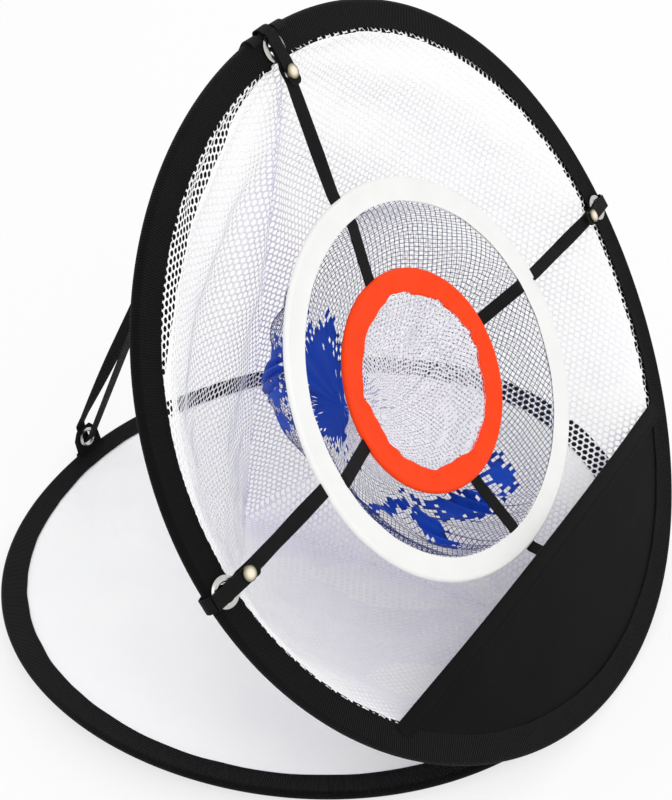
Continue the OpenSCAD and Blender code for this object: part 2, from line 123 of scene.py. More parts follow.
def on_base(angle, r, level=0.0):
    """A point on the saddle of the ground hoop, whose middle strip lies flat on the ground."""
    side = np.maximum(0, np.abs(r * np.cos(angle - SADDLE_TURN)) - FLAT_HALF) / (BASE_R - FLAT_HALF)
    return np.stack(np.broadcast_arrays(
        r * np.cos(angle), BASE_Y + r * np.sin(angle), BIND_R + 2 * BASE_SADDLE * side ** 2 + level), -1)


print("target hoop's centre, mm:", FACE_C.round(1))

# %% [markdown]
# ## The camera
#
# The net is seen from its left front, a little above, with the camera rolled by a few degrees.

# %% Camera
EYE = Vector((-0.7375, -0.5516, 0.8255))
LOOK_AT = Vector((-0.0356, -0.0456, 0.1930))
ROLL = math.radians(-3.76)
LENS_MM = 69.14

back = (EYE - LOOK_AT).normalized()
level_right = Vector((0, 0, 1)).cross(back).normalized()
level_up = back.cross(level_right)
cam_right = math.cos(ROLL) * level_right + math.sin(ROLL) * level_up
cam_up = -math.sin(ROLL) * level_right + math.cos(ROLL) * level_up

cam_data = bpy.data.cameras.new("camera")
cam_data.lens = LENS_MM
cam_data.sensor_fit = "AUTO"
cam_data.sensor_width = 36
camera = bpy.data.objects.new("camera", cam_data)
camera.matrix_world = Matrix.Translation(EYE) @ Matrix((cam_right, cam_up, back)).transposed().to_4x4()
bpy.context.scene.collection.objects.link(camera)
bpy.context.scene.camera = camera
print("camera distance, m:", round((EYE - LOOK_AT).length, 3))

# %% [markdown]
# ## Helpers for modelling
#
# Operators act on whatever is selected, and the loaded solids all are. So each step first picks
# one object, or none before it adds one. A piece is shaped flat by operators, and its points are
# then moved in one go.

# %% Selecting, reading and moving points


def pick(obj):
    """Makes obj the only selected object."""
    ops.object.select_all(action="DESELECT")
    obj.select_set(True)
    bpy.context.view_layer.objects.active = obj


def new_piece(name, operator, **settings):
    """Runs an operator that adds an object, and names that object."""
    ops.object.select_all(action="DESELECT")
    operator(**settings)
    obj = bpy.context.object
    obj.name = obj.data.name = name
    return obj


def points_of(obj):
    co = np.empty(3 * len(obj.data.vertices), np.float32)
    obj.data.vertices.foreach_get("co", co)
    return co.reshape(-1, 3).astype(float)


def move_points(obj, co):
    obj.data.vertices.foreach_set("co", np.asarray(co, np.float32).ravel())
    obj.data.update()


def edit(obj, *steps):
    """Runs edit-mode operators on all of obj."""
    pick(obj)
    ops.object.mode_set(mode="EDIT")
    for step in steps:
        ops.mesh.select_all(action="SELECT")
        step()
    ops.object.mode_set(mode="OBJECT")


def merge(obj, distance=0.02):
    """Joins points closer than distance, in mm, and turns the faces outwards."""
    edit(obj, lambda: ops.mesh.remove_doubles(threshold=distance * MM),
         lambda: ops.mesh.normals_make_consistent(inside=False))


def apply(obj, kind, **settings):
    """Adds a modifier and applies it."""
    pick(obj)
    modifier = obj.modifiers.new(kind.lower(), kind)
    for key, value in settings.items():
        setattr(modifier, key, value)
    ops.object.modifier_apply(modifier=modifier.name)


def smooth(obj, angle=40):
    pick(obj)
    ops.object.shade_smooth_by_angle(angle=math.radians(angle))


def set_uv(obj, per_vertex, wrap=None):
    """Writes a UV map in millimetres from one (u, v) for each vertex; u may wrap round at a length."""
    loops = np.empty(len(obj.data.loops), np.int64)
    obj.data.loops.foreach_get("vertex_index", loops)
    uv = per_vertex[loops]
    if wrap:
        starts = np.array([f.loop_start for f in obj.data.polygons])
        sizes = np.array([f.loop_total for f in obj.data.polygons])
        highest = np.repeat(np.maximum.reduceat(uv[:, 0], starts), sizes)
        uv[:, 0] += np.where(highest - uv[:, 0] > wrap / 2, wrap, 0)
    layer = obj.data.uv_layers.get("UVMap") or obj.data.uv_layers.new(name="UVMap")
    layer.data.foreach_set("uv", uv.astype(np.float32).ravel())


def laid_flat(angle, r, level=0.0):
    """Points round the Z axis, one in each row."""
    return np.stack(np.broadcast_arrays(r * np.cos(angle), r * np.sin(angle), level), 1)


def directions(rows, least=1e-9):
    """Each row scaled to length 1."""
    return rows / np.maximum(np.linalg.norm(rows, axis=1, keepdims=True), least)


def ripple(p, size, seed=0.0):
    """Smooth noise from -1 to 1 at points in mm, with bumps about size mm across."""
    offset = Vector((seed, 3.7 * seed, -1.3 * seed))
    return np.array([noise.noise(Vector(q) / size + offset) for q in p])


print("helpers ready")

# %% [markdown]
# ## Helpers for materials
#
# A colour is written as the sRGB hex value that a designer reads off a swatch, and the shader
# wants linear light, so one function converts it. One more function adds a node with its
# settings and links, which keeps each material to a few readable lines.

# %% Colours and nodes


def colour(hex_code):
    srgb = [int(hex_code[i:i + 2], 16) / 255 for i in (1, 3, 5)]
    return tuple(c / 12.92 if c <= 0.04045 else ((c + 0.055) / 1.055) ** 2.4 for c in srgb) + (1.0,)


def add(tree, kind, inputs, **settings):
    """Adds one shader node: settings are its options, inputs are values or other nodes' sockets."""
    made = tree.nodes.new("ShaderNode" + kind)
    for key, value in settings.items():
        setattr(made, key, value)
    for key, value in inputs.items():
        if isinstance(value, bpy.types.NodeSocket):
            tree.links.new(value, made.inputs[key])
        else:
            made.inputs[key].default_value = value
    return made


def new_material(name, **surface):
    """A material with one Principled shader, whose plain sockets are set here."""
    made = bpy.data.materials.new(name)
    made.use_nodes = True
    shader = made.node_tree.nodes["Principled BSDF"]
    for key, value in surface.items():
        shader.inputs[key.replace("_", " ").title().replace("Ior", "IOR")].default_value = value
    return made, made.node_tree, shader


def uv_mm(tree):
    """The piece's own UV map, in millimetres: x along the tape, y across it."""
    return add(tree, "SeparateXYZ", {0: add(tree, "UVMap", {}, uv_map="UVMap").outputs[0]})


def wave(tree, along, pitch):
    """A sine from -1 to 1 along a length in millimetres, one period for each pitch."""
    turned = add(tree, "Math", {0: along, 1: 2 * math.pi / pitch}, operation="MULTIPLY")
    return add(tree, "Math", {0: turned.outputs[0]}, operation="SINE").outputs[0]


def combine(tree, how, a, b):
    return add(tree, "Math", {0: a, 1: b}, operation=how).outputs[0]


def mottle(tree, size_mm, detail=3.0):
    """Soft noise from 0 to 1 in the piece's Object coordinates, with blotches about size_mm across."""
    place = add(tree, "TexCoord", {}).outputs["Object"]
    return add(tree, "TexNoise", {"Vector": place, "Scale": 1000 / size_mm, "Detail": detail}).outputs[0]


def two_tone(tree, shader, share, dark, light):
    mix = add(tree, "Mix", {0: share, 6: colour(dark), 7: colour(light)}, data_type="RGBA")
    tree.links.new(mix.outputs[2], shader.inputs["Base Color"])


def raise_surface(tree, shader, height, depth_mm):
    bump = add(tree, "Bump", {"Height": height, "Distance": depth_mm * MM, "Strength": 1.0})
    tree.links.new(bump.outputs[0], shader.inputs["Normal"])


print("material helpers ready")

# %% [markdown]
# ## The finishes
#
# Nearly everything is polyester, so the finishes differ in how the yarn lies. Grosgrain tape has
# hard ribs across it, 1.7 mm apart. Satin is smooth with a broad sheen. Elastic has fine
# lengthwise cords. The ribs read the piece's UV map, so that they follow the tape round a hoop,
# and a plain weave is so fine that it is drawn a little coarser than it is.

# %% Textile finishes


def grosgrain(name, dark, light, pitch, depth, roughness):
    """Ribbed tape: ribs across, blotches from wear, and painted shade in the grooves between the ribs."""
    made, tree, shader = new_material(name, roughness=roughness, sheen_weight=0.02, sheen_roughness=0.5,
                                      specular_ior_level=0.08)
    place = uv_mm(tree)
    rib = wave(tree, place.outputs[0], pitch)
    yarn = wave(tree, place.outputs[1], 0.9)
    height = combine(tree, "ADD", rib, combine(tree, "MULTIPLY", yarn, 0.25))
    # Painted shade: besides random blotches, the colour is lighter on the ribs' crests and darker in the grooves
    # between them.
    two_tone(tree, shader, combine(tree, "ADD", mottle(tree, 18), combine(tree, "MULTIPLY", rib, 0.18)), dark, light)
    raise_surface(tree, shader, height, depth)
    return made


def satin(name, dark, light, painted_shade_size, roughness, gloss=0.3, weave=0.9):
    """Smooth cloth: a fine weave under a broad gloss, with soft blotches of painted shade, darker patches that stand
    for the shade in its creases.
    """
    made, tree, shader = new_material(name, roughness=roughness, sheen_weight=gloss / 4, sheen_roughness=0.4,
                                      specular_ior_level=gloss)
    place = add(tree, "SeparateXYZ", {0: add(tree, "TexCoord", {}).outputs["Object"]})
    warp = wave(tree, combine(tree, "MULTIPLY", place.outputs[0], 1000.0), weave)
    weft = wave(tree, combine(tree, "MULTIPLY", place.outputs[2], 1000.0), weave)
    creases = combine(tree, "MULTIPLY", mottle(tree, 26), 5.0)
    # Painted shade: the colour is darker in soft blotches that stand for the shade in the cloth's creases.
    two_tone(tree, shader, mottle(tree, painted_shade_size), dark, light)
    raise_surface(tree, shader, combine(tree, "ADD", combine(tree, "MULTIPLY", warp, weft), creases), 0.05)
    return made


def elastic(name, dark, light):
    """Woven elastic: lengthwise cords 1.1 mm apart, crossed by fine weft."""
    made, tree, shader = new_material(name, roughness=0.7, sheen_weight=0.02, specular_ior_level=0.1)
    place = uv_mm(tree)
    cords = wave(tree, place.outputs[1], 1.1)
    weft = wave(tree, place.outputs[0], 0.8)
    two_tone(tree, shader, mottle(tree, 9), dark, light)
    raise_surface(tree, shader, combine(tree, "ADD", cords, combine(tree, "MULTIPLY", weft, 0.4)), 0.1)
    return made


def knitted(name, single, bunched):
    """Net yarn: a twist of fine filaments. Its UV map's x says how tightly the net bunches there, from 0 to 1, and
    blends its colour from single to bunched: painted light and shade where the net folds and bunches.
    """
    made, tree, shader = new_material(name, roughness=0.6, sheen_weight=0.05, specular_ior_level=0.2)
    two_tone(tree, shader, uv_mm(tree).outputs[0], single, bunched)
    raise_surface(tree, shader, mottle(tree, 0.6, 1.0), 0.1)
    return made


black_grosgrain = grosgrain("black_grosgrain_tape", "#050506", "#0e0d0f", 1.7, 0.3, 0.65)
black_satin = satin("black_satin_cloth", "#070607", "#0d0c0d", 45, 0.55, 0.07)
white_satin_tape = satin("white_satin_tape", "#ebebea", "#f4f4f3", 22, 0.6, 0.2)
orange_satin_tape = satin("orange_satin_tape", "#f23c08", "#ff4812", 16, 0.55, 0.15)
white_cloth = satin("white_polyester_cloth", "#f6f6fa", "#fdfdfc", 60, 0.6)
black_elastic = elastic("black_woven_elastic", "#09090b", "#161618")
# The nets' second colours are painted light and shade: the catch net turns lilac grey where it folds and bunches, and
# the pockets turn lighter where they bunch.
white_net_yarn = knitted("white_hexagon_knit", "#fdfdfe", "#eae7f8")
white_pocket_yarn = knitted("white_diamond_knit", "#f4f3fa", "#fcfcfe")
blue_net_yarn = knitted("blue_diamond_knit", "#122068", "#0c46bc")
print("textile finishes:", len(bpy.data.materials))

# %% [markdown]
# Plated metal is a mirror with fine scratches. The press studs' caps are plated in a warmer,
# champagne tone than the eyelets, and each is painted bright in its middle and dark at its rim: a
# painted highlight and painted shade that make it look domed. The hoops' wires are zinc-plated
# spring steel, and hidden.

# %% Metal finishes


def plated(name, dark, light, roughness):
    made, tree, shader = new_material(name, metallic=1.0, roughness=roughness)
    two_tone(tree, shader, mottle(tree, 2.5), dark, light)
    raise_surface(tree, shader, mottle(tree, 0.7), 0.03)
    return made


nickel = plated("nickel_plated_brass", "#a9a9a6", "#dedcd8", 0.24)
zinc = plated("zinc_plated_spring_wire", "#8d9093", "#b5b8ba", 0.4)

METAL_NODES = {
    nickel: ["rear_eyelet", "top_eyelet", "right_eyelet", "left_eyelet", "top_stud", "right_stud", "left_stud",
             "top_snap_socket", "right_snap_socket", "left_snap_socket"],
    zinc: ["base_wire", "face_wire", "middle_ring_wire", "inner_ring_wire"],
}
for finish, names in METAL_NODES.items():
    for name in names:
        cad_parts[name].data.materials.clear()
        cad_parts[name].data.materials.append(finish)

CAP_HIGHLIGHT_R = 1.8
CAP_RIM_R = 5.5
for name in ("top_snap_cap", "right_snap_cap", "left_snap_cap"):
    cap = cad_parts[name]
    corners = [cap.matrix_world @ Vector(corner) for corner in cap.bound_box]
    # Painted highlight and painted shade: the cap's colour runs from bright in its middle to dark at its rim.
    made, tree, shader = new_material("champagne_plated_" + name, metallic=1.0, roughness=0.25)
    place = add(tree, "TexCoord", {}).outputs["Object"]
    away = add(tree, "VectorMath", {0: place, 1: sum(corners, Vector()) / 8}, operation="DISTANCE")
    painted_highlight = add(tree, "MapRange",
               {0: away.outputs["Value"], 1: CAP_HIGHLIGHT_R * MM, 2: CAP_RIM_R * MM, 3: 1.0, 4: 0.0},
               interpolation_type="SMOOTHSTEP")
    two_tone(tree, shader, painted_highlight.outputs[0], "#5e5336", "#fff7e0")
    cap.data.materials.clear()
    cap.data.materials.append(made)
print("metal nodes finished:", 3 + sum(len(names) for names in METAL_NODES.values()))


def dress(obj, finish, slot, *nodes, body=None):
    """Gives a finished piece its material, the solids it stands for and the body it rides on; slot is not used."""
    obj.data.materials.clear()
    obj.data.materials.append(finish)
    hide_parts(*nodes)
    if body:
        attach(obj, body)


# %% [markdown]
# ## The binding tapes
#
# A tape is folded over a wire and sewn shut over the edge of the cloth. Its cross-section is a
# small loop with two flat legs. That outline is laid on a circle's points, and Spin sweeps it
# round the hoop's axis, as a hand would. The saddle comes last, by moving the points.

# %% The tape's cross-section, spun into a ring


WIRE_PLAY = 0.3


def tape_outline(width, r, wire_r, gap, leg):
    """Closed outline: x inwards from the hoop's edge, y through the tape, both in mm."""
    hollow = wire_r + WIRE_PLAY
    mouth = math.sqrt(hollow * hollow - gap * gap)
    start = math.acos(-0.35)
    outer = [(r - r * math.cos(t), r * math.sin(t)) for t in np.linspace(start, -start, 15)]
    lane = [(0.45 * width, 0.62 * r + 0.3 * (gap + leg)), (0.62 * width, 0.25 * r + 0.75 * (gap + leg)),
            (0.82 * width, gap + leg), (width - 0.4, gap + leg)]
    back = math.radians(140)
    inner = [(r - hollow * math.cos(t), -hollow * math.sin(t)) for t in np.linspace(back, -back, 11)]
    top = [(width, gap + 0.5 * leg)] + list(reversed(lane)) + outer
    below = [(x, -y) for x, y in lane] + [(width, -gap - 0.5 * leg), (width - 0.4, -gap)]
    return top + below + [(r + mouth + 1.5, -gap)] + inner + [(r + mouth + 1.5, gap), (width - 0.4, gap)]


def spin_tape(name, radius, outline, steps):
    """Spins a tape's outline into a flat ring round Z, with a UV map along and across the tape."""
    tape = new_piece(name, ops.mesh.primitive_circle_add, vertices=len(outline), radius=0.01)
    move_points(tape, np.array([((radius - x), 0.0, y) for x, y in outline]) * MM)
    edit(tape, lambda: ops.mesh.spin(steps=steps, angle=2 * math.pi, center=(0, 0, 0), axis=(0, 0, 1)))
    merge(tape)
    co = points_of(tape) / MM
    angle = np.arctan2(co[:, 1], co[:, 0]) % (2 * math.pi)
    set_uv(tape, np.stack([angle * radius, radius - np.hypot(co[:, 0], co[:, 1])], 1), 2 * math.pi * radius)
    return tape


def polar(co):
    """Angle, radius and level in mm of points that lie round the Z axis."""
    return np.arctan2(co[:, 1], co[:, 0]), np.hypot(co[:, 0], co[:, 1]) / MM, co[:, 2] / MM


def puckers(radius, size, seed, angle, r):
    """How strongly the seam puckers a tape's points: nothing over its wire, most at its inner edge."""
    return ripple(laid_flat(angle, radius), size, seed) * unit((radius - r - 8) / 12)


HOOP_STEPS = 288
TAPE_GAP = 0.75
TAPE_LEG = 0.9
hoop_outline = tape_outline(BIND_W, BIND_R, WIRE_R, TAPE_GAP, TAPE_LEG)

base_tape = spin_tape("ground_hoop_tape", BASE_R, hoop_outline, HOOP_STEPS)
angle, r, level = polar(points_of(base_tape))
pucker = puckers(BASE_R, 22, 4.0, angle, r)
move_points(base_tape, on_base(angle, r + 0.8 * pucker, level + 0.35 * pucker) * MM)
smooth(base_tape)
dress(base_tape, black_grosgrain, "black_binding", "base_binding", body="ground_frame")
print("ground hoop's tape:", len(base_tape.data.polygons), "faces")

# %% [markdown]
# The target hoop's tape has two things of its own. Its rear leg is sewn a little wider than the
# front one, so its black shows through the first row of the net's holes. And it is pierced where
# the three eyelets sit, by a Boolean with a plain cylinder at each.

# %% The target hoop's tape
TOP_ANGLE = math.radians(92.5)
RIGHT_ANGLE = math.radians(2)
LEFT_ANGLE = math.radians(180)
EYELET_R = 247.5
SNAP_R = 230.0
EYELET_CUT_R = 6.4
STRAP_ANGLES = {"top": TOP_ANGLE, "right": RIGHT_ANGLE, "left": LEFT_ANGLE}


def local_axes(angle, r):
    """Origin and axes on the target's saddle: along the hoop, outwards, and towards the golfer."""
    slope = math.atan(2 * face_saddle(angle, r) / r)
    outward = math.cos(angle) * ACROSS + math.sin(angle) * UP_FACE
    along = math.sin(angle) * ACROSS - math.cos(angle) * UP_FACE
    out = math.cos(slope) * outward + math.sin(slope) * OUT_FACE
    normal = -math.sin(slope) * outward + math.cos(slope) * OUT_FACE
    return on_face(angle, r), along, out, normal


def pierce(obj, centre, axes):
    """Cuts an eyelet's hole at centre, in mm; the last of the three axes runs through the piece."""
    punch = new_piece("punch", ops.mesh.primitive_cylinder_add, vertices=40, radius=EYELET_CUT_R * MM, depth=0.02)
    punch.data.transform(Matrix.Translation(Vector(centre * MM)) @ Matrix(axes).transposed().to_4x4())
    apply(obj, "BOOLEAN", object=punch, operation="DIFFERENCE", solver="EXACT")
    bpy.data.objects.remove(punch)


REAR_LEG_EXTRA = 2.0
face_tape = spin_tape("target_hoop_tape", FACE_R, hoop_outline, HOOP_STEPS)
angle, r, level = polar(points_of(face_tape))
pucker = puckers(FACE_R, 24, 9.0, angle, r)
r = r - np.where(level < -0.1, REAR_LEG_EXTRA * unit((FACE_R - r - 8) / 12), 0)
move_points(face_tape, on_face(angle, r + 0.7 * pucker, level + 0.3 * pucker) * MM)
for angle in STRAP_ANGLES.values():
    centre, *axes = local_axes(angle, EYELET_R)
    pierce(face_tape, centre, axes)
smooth(face_tape)
dress(face_tape, black_grosgrain, "black_binding", "face_binding", body="target_frame")
print("target hoop's tape:", len(face_tape.data.polygons), "faces")

# %% [markdown]
# The two small rings are made the same way, from satin tape round thinner wire. The white one
# stays smooth. The orange one is cut a little too long for its ring, so its inner edge gathers
# in soft waves: sums of sines move it in and out, and through the ring's plane. The net that is
# sewn into it takes the same waves.

# %% The rings' tapes
MID_R = 141.0
MID_W = 17.3
MID_BACK = 9.5
INNER_R = 79.5
INNER_W = 18.0
INNER_BACK = 21.5
RING_R = 2.5
RING_WIRE_R = 1.5
RING_STEPS = 240


def gather(radius, width, waves, angle, r):
    """How far a tape's waves move a point: outwards along the radius, and through the ring's plane."""
    share = unit((radius - r) / width) ** 1.5
    sway = np.sin(17 * angle + 1.5 * np.sin(3 * angle)) + 0.6 * np.sin(29 * angle + 2 * np.sin(2 * angle))
    bulge = np.sin(5 * angle + 1) + 0.8 * np.sin(9 * angle + 2) + 0.5 * np.sin(23 * angle + np.sin(5 * angle))
    return waves * bulge * share, 0.6 * waves * sway * share


def ring_tape(name, radius, width, back, waves, finish, slot, node, body):
    outline = tape_outline(width, RING_R, RING_WIRE_R, 0.5, 0.7)
    tape = spin_tape(name, radius, outline, RING_STEPS)
    angle, r, level = polar(points_of(tape))
    outwards, through = gather(radius, width, waves, angle, r)
    r, level = r + outwards, level + through
    move_points(tape, on_spoke(angle, r, level - back) * MM)
    smooth(tape)
    dress(tape, finish, slot, node, body=body)


MID_WAVES = 0.25
INNER_WAVES = 1.0
ring_tape("middle_ring_tape", MID_R, MID_W, MID_BACK, MID_WAVES, white_satin_tape, "white_binding",
          "middle_ring_binding", "middle_ring")
ring_tape("inner_ring_tape", INNER_R, INNER_W, INNER_BACK, INNER_WAVES, orange_satin_tape, "orange_binding",
          "inner_ring_binding", "inner_ring")
print("ring tapes made")

# %% [markdown]
# ## The two cloths
#
# The ground cloth is a disc sewn into the ground hoop, and its middle sags to the ground. A disc
# could be a filled circle, but that has no points inside to sag. So a grid is bent round: one of
# its directions becomes the angle, the other the radius. Solidify gives it its thickness.

# %% The ground cloth


def polar_grid(name, around, along):
    """A grid whose x is a turn from 0 to 1 and whose y runs from 0 to 1."""
    made = new_piece(name, ops.mesh.primitive_grid_add, x_subdivisions=around, y_subdivisions=along, size=1)
    co = points_of(made)
    return made, co[:, 0] + 0.5, co[:, 1] + 0.5


CLOTH_T = 0.5
CLOTH_OUT_R = BASE_R - BIND_W + 6
ground_cloth, turn, share = polar_grid("ground_cloth", 180, 40)
r = CLOTH_OUT_R * share
angle = 2 * math.pi * turn
sag = (BIND_R - 0.9) * (1 - unit((r - FLAT_HALF) / (BASE_R - BIND_W - FLAT_HALF)) ** 2)
flat = laid_flat(angle, r)
folds = ripple(flat, 70, 2.0) + 0.5 * ripple(flat, 30, 5.0)
hang = unit(r / 60) * unit((CLOTH_OUT_R - 6 - r) / 25)
rise = np.clip(1.3 * folds * hang, -0.3, 2.5)
move_points(ground_cloth, on_base(angle, r, rise - sag) * MM)
merge(ground_cloth)
apply(ground_cloth, "SOLIDIFY", thickness=CLOTH_T * MM, offset=0)
smooth(ground_cloth, 60)
dress(ground_cloth, white_cloth, "white_cloth", "base_panel", body="ground_frame")
print("ground cloth:", len(ground_cloth.data.polygons), "faces")

# %% [markdown]
# The front panel is a segment of black satin with a straight upper hem, folded twice and sewn.
# A grid is fitted between the hem and the hoop's curve. The hem is one more strip over it, which
# two lines of stitches pull in.

# %% The front panel and its hem
PANEL_DROP = 142.5
PANEL_RIM = FACE_R - BIND_W + 5
PANEL_LEVEL = 0.45
HEM_W = 14.0
PANEL_HALF = math.sqrt(PANEL_RIM ** 2 - PANEL_DROP ** 2) * 0.995


def on_face_xy(x, up, level):
    """A point on the saddle from its place across and up the face."""
    return on_face(np.arctan2(up, x), np.hypot(x, up), level)


front_panel, turn, share = polar_grid("satin_front_panel", 120, 30)
x = PANEL_HALF * (2 * turn - 1)
low = np.sqrt(PANEL_RIM ** 2 - x ** 2)
up = -(PANEL_DROP + (low - PANEL_DROP) * share)
flat = np.stack([x, up, 0 * x], 1)
drape = ripple(flat * [0.4, 1, 1], 34, 7.0) * unit((PANEL_RIM - 7 - np.hypot(x, up)) / 25)
move_points(front_panel, on_face_xy(x, up, PANEL_LEVEL + 0.9 * np.clip(drape, -0.2, 1)) * MM)
apply(front_panel, "SOLIDIFY", thickness=0.5 * MM, offset=0)
smooth(front_panel, 60)
dress(front_panel, black_satin, "black_cloth", "front_panel", body="target_frame")

panel_hem, turn, share = polar_grid("satin_panel_hem", 160, 28)
x = (PANEL_HALF - 2) * (2 * turn - 1)
up = -PANEL_DROP + 0.4 - HEM_W * share
crown = 0.5 * np.sin(math.pi * share) ** 0.5
for seam_line in (0.72, 0.86):
    crown = crown - 0.35 * np.exp(-((share - seam_line) / 0.03) ** 2)
move_points(panel_hem, on_face_xy(x, up, PANEL_LEVEL + 0.7 + crown) * MM)
apply(panel_hem, "SOLIDIFY", thickness=0.7 * MM, offset=-1)
smooth(panel_hem, 50)
dress(panel_hem, black_satin, "black_cloth", body="target_frame")

# %% [markdown]
# ## The catch net
#
# The net is knitted with six-sided holes. One hexagon is a circle of six points. Array copies it
# into a flat sheet, and Inset with its middle deleted leaves only the threads, with a ridge along
# each thread's middle that is lifted a little, so that the thread looks round.
#
# The sheet must then be hung without stretching its holes. The net runs in straight lines from
# the hoop to its rear edge, so the surface can be rolled out flat, strip by strip, as a tailor
# makes a pattern. Each point of the flat sheet finds its strip and takes the strip's place in
# space. Folds are added at the end.

# %% A flat net of six-sided or four-sided holes


def flat_net(name, sides, cell_w, cell_h, row_step, columns, rows, corner):
    """Polygons of the given width and height, tiled from a corner; all lengths in mm."""
    net = new_piece(name, ops.mesh.primitive_circle_add, vertices=sides, radius=1, fill_type="NGON")
    co = points_of(net)
    co[:, :2] *= [cell_w / 2 / np.abs(co[:, 0]).max(), cell_h / 2]
    move_points(net, (co + [corner[0], corner[1], 0]) * MM)
    for count, step in ((columns, (cell_w, 0)), (2, (cell_w / 2, row_step)), (rows // 2, (0, 2 * row_step))):
        apply(net, "ARRAY", count=count, use_relative_offset=False, use_constant_offset=True,
              constant_offset_displace=(step[0] * MM, step[1] * MM, 0))
    edit(net, lambda: ops.mesh.remove_doubles(threshold=0.02 * MM))
    return net


def delete_faces(obj, chosen):
    """Deletes the faces whose flag in chosen is set."""
    obj.data.polygons.foreach_set("select", chosen)
    ops.object.mode_set(mode="EDIT")
    ops.mesh.delete(type="FACE")
    ops.object.mode_set(mode="OBJECT")


def keep_faces(obj, wanted_point):
    """Deletes every face that has a point outside the pattern, and the threads that this frees."""
    edit(obj, lambda: ops.mesh.select_mode(type="FACE"), lambda: ops.mesh.select_all(action="DESELECT"))
    delete_faces(obj, np.array([not wanted_point[list(f.vertices)].all() for f in obj.data.polygons]))
    edit(obj, lambda: ops.mesh.delete_loose())


def open_holes(net, thread, closed=None):
    """Insets each cell by half a thread and deletes its middle, unless the net is bunched shut there.

    closed takes the cells' middles in mm. Returns which points lie on thread middles.
    """
    ridges = len(net.data.vertices)
    edit(net, lambda: ops.mesh.select_mode(type="FACE"),
         lambda: ops.mesh.inset(thickness=thread / 2 * MM, use_individual=True))
    chosen = np.array([f.select for f in net.data.polygons])
    if closed:
        chosen &= ~closed(np.array([f.center for f in net.data.polygons]) / MM)
    delete_faces(net, chosen)
    return np.arange(len(net.data.vertices)) < ridges


print("net tools ready")

# %% The net's surface in space
NET_OPEN = FACE_R - BIND_W - 1.5
NET_TUCK = 6.0          # how far the net goes on under the tape
RIDGE_OVERRUN = 5.0     # how far a thread may pass the rear edge
SMALL = 0.003           # a step along the surface for its directions
NET_LEVEL = -0.45
RIDGE_Z = 5.0
RIDGE_TOP = on_face(math.pi / 2, PANEL_RIM)
RIDGE_FOOT = np.array([0, BASE_Y + 78, RIDGE_Z])
RIDGE_FRONT = on_face(-math.pi / 2, PANEL_RIM - 4) + [0, 5, 2]
RIDGE_BEND = 0.62
STRIPS = 120
BOW = 26.0              # how far the net's sides belly out
HOLD = 0.7              # at the upper left the net stays near the hoop's plane at first,
HOLD_REACH = 40.0       # and lets go over this length


def ridge(k):
    """The net's rear edge: down from the top of the hoop, then forwards over the ground cloth."""
    k = np.asarray(k)[..., None]
    upper = RIDGE_TOP + (RIDGE_FOOT - RIDGE_TOP) * k / RIDGE_BEND
    lower = RIDGE_FOOT + (RIDGE_FRONT - RIDGE_FOOT) * (k - RIDGE_BEND) / (1 - RIDGE_BEND)
    return np.where(k < RIDGE_BEND, upper, lower)


def net_surface(k, t, side):
    """The net at share k down the hoop and t from the hoop (0) to the rear edge (1)."""
    rim = on_face(math.pi / 2 - side * math.pi * k, NET_OPEN, NET_LEVEL)
    inside = unit(t)
    bow = BOW * np.sin(math.pi * inside) ** 1.3 * np.sin(math.pi * unit(k)) ** 0.7
    out = on_face(math.pi / 2 - side * math.pi * k, NET_OPEN + NET_TUCK, NET_LEVEL) - rim
    across = (ridge(k) - rim) * inside[..., None]
    place = rim + across + out * unit(-t)[..., None]
    if side < 0:
        gone = np.linalg.norm(across, axis=-1)
        held = HOLD * unit((k - 0.02) / 0.1) * unit((0.5 - k) / 0.25)
        place = place + np.multiply.outer(held * gone * np.exp(-gone / HOLD_REACH), OUT_FACE)
    return place + np.stack([side * bow * 0.55, bow * 0.75, -bow * 0.1 * (1 - k)], -1)


def third_corner(p, q, from_p, from_q, side):
    """The point at given distances from p and q, on one side of the line from p to q."""
    line = q - p
    length = np.hypot(*line)
    along = (from_p ** 2 - from_q ** 2 + length ** 2) / (2 * length)
    off = math.sqrt(max(from_p ** 2 - along ** 2, 0))
    return p + along * line / length + side * off * np.array([-line[1], line[0]]) / length


def roll_out():
    """The flat pattern of one side: its edge along the hoop and its rear edge, strip by strip."""
    k = np.linspace(0.004, 0.996, STRIPS + 1)
    rim = on_face(math.pi / 2 - math.pi * k, NET_OPEN, NET_LEVEL)
    rear = ridge(k)
    flat_rim = [np.zeros(2)]
    flat_rear = [np.array([np.linalg.norm(rear[0] - rim[0]), 0.0])]
    for i in range(STRIPS):
        a, d = flat_rim[i], flat_rear[i]
        b = third_corner(a, d, np.linalg.norm(rim[i + 1] - rim[i]), np.linalg.norm(rim[i + 1] - rear[i]), -1)
        c = third_corner(d, b, np.linalg.norm(rear[i + 1] - rear[i]), np.linalg.norm(rear[i + 1] - rim[i + 1]), 1)
        flat_rim.append(b)
        flat_rear.append(c)
    flat_rim, flat_rear = np.array(flat_rim), np.array(flat_rear)
    middle = flat_rim[STRIPS // 2 + 1] - flat_rim[STRIPS // 2]
    turn = -math.pi / 2 - math.atan2(middle[1], middle[0])
    spin = np.array([[math.cos(turn), math.sin(turn)], [-math.sin(turn), math.cos(turn)]])
    return k, flat_rim @ spin, flat_rear @ spin


def cross(p, q):
    return p[..., 0] * q[..., 1] - p[..., 1] * q[..., 0]


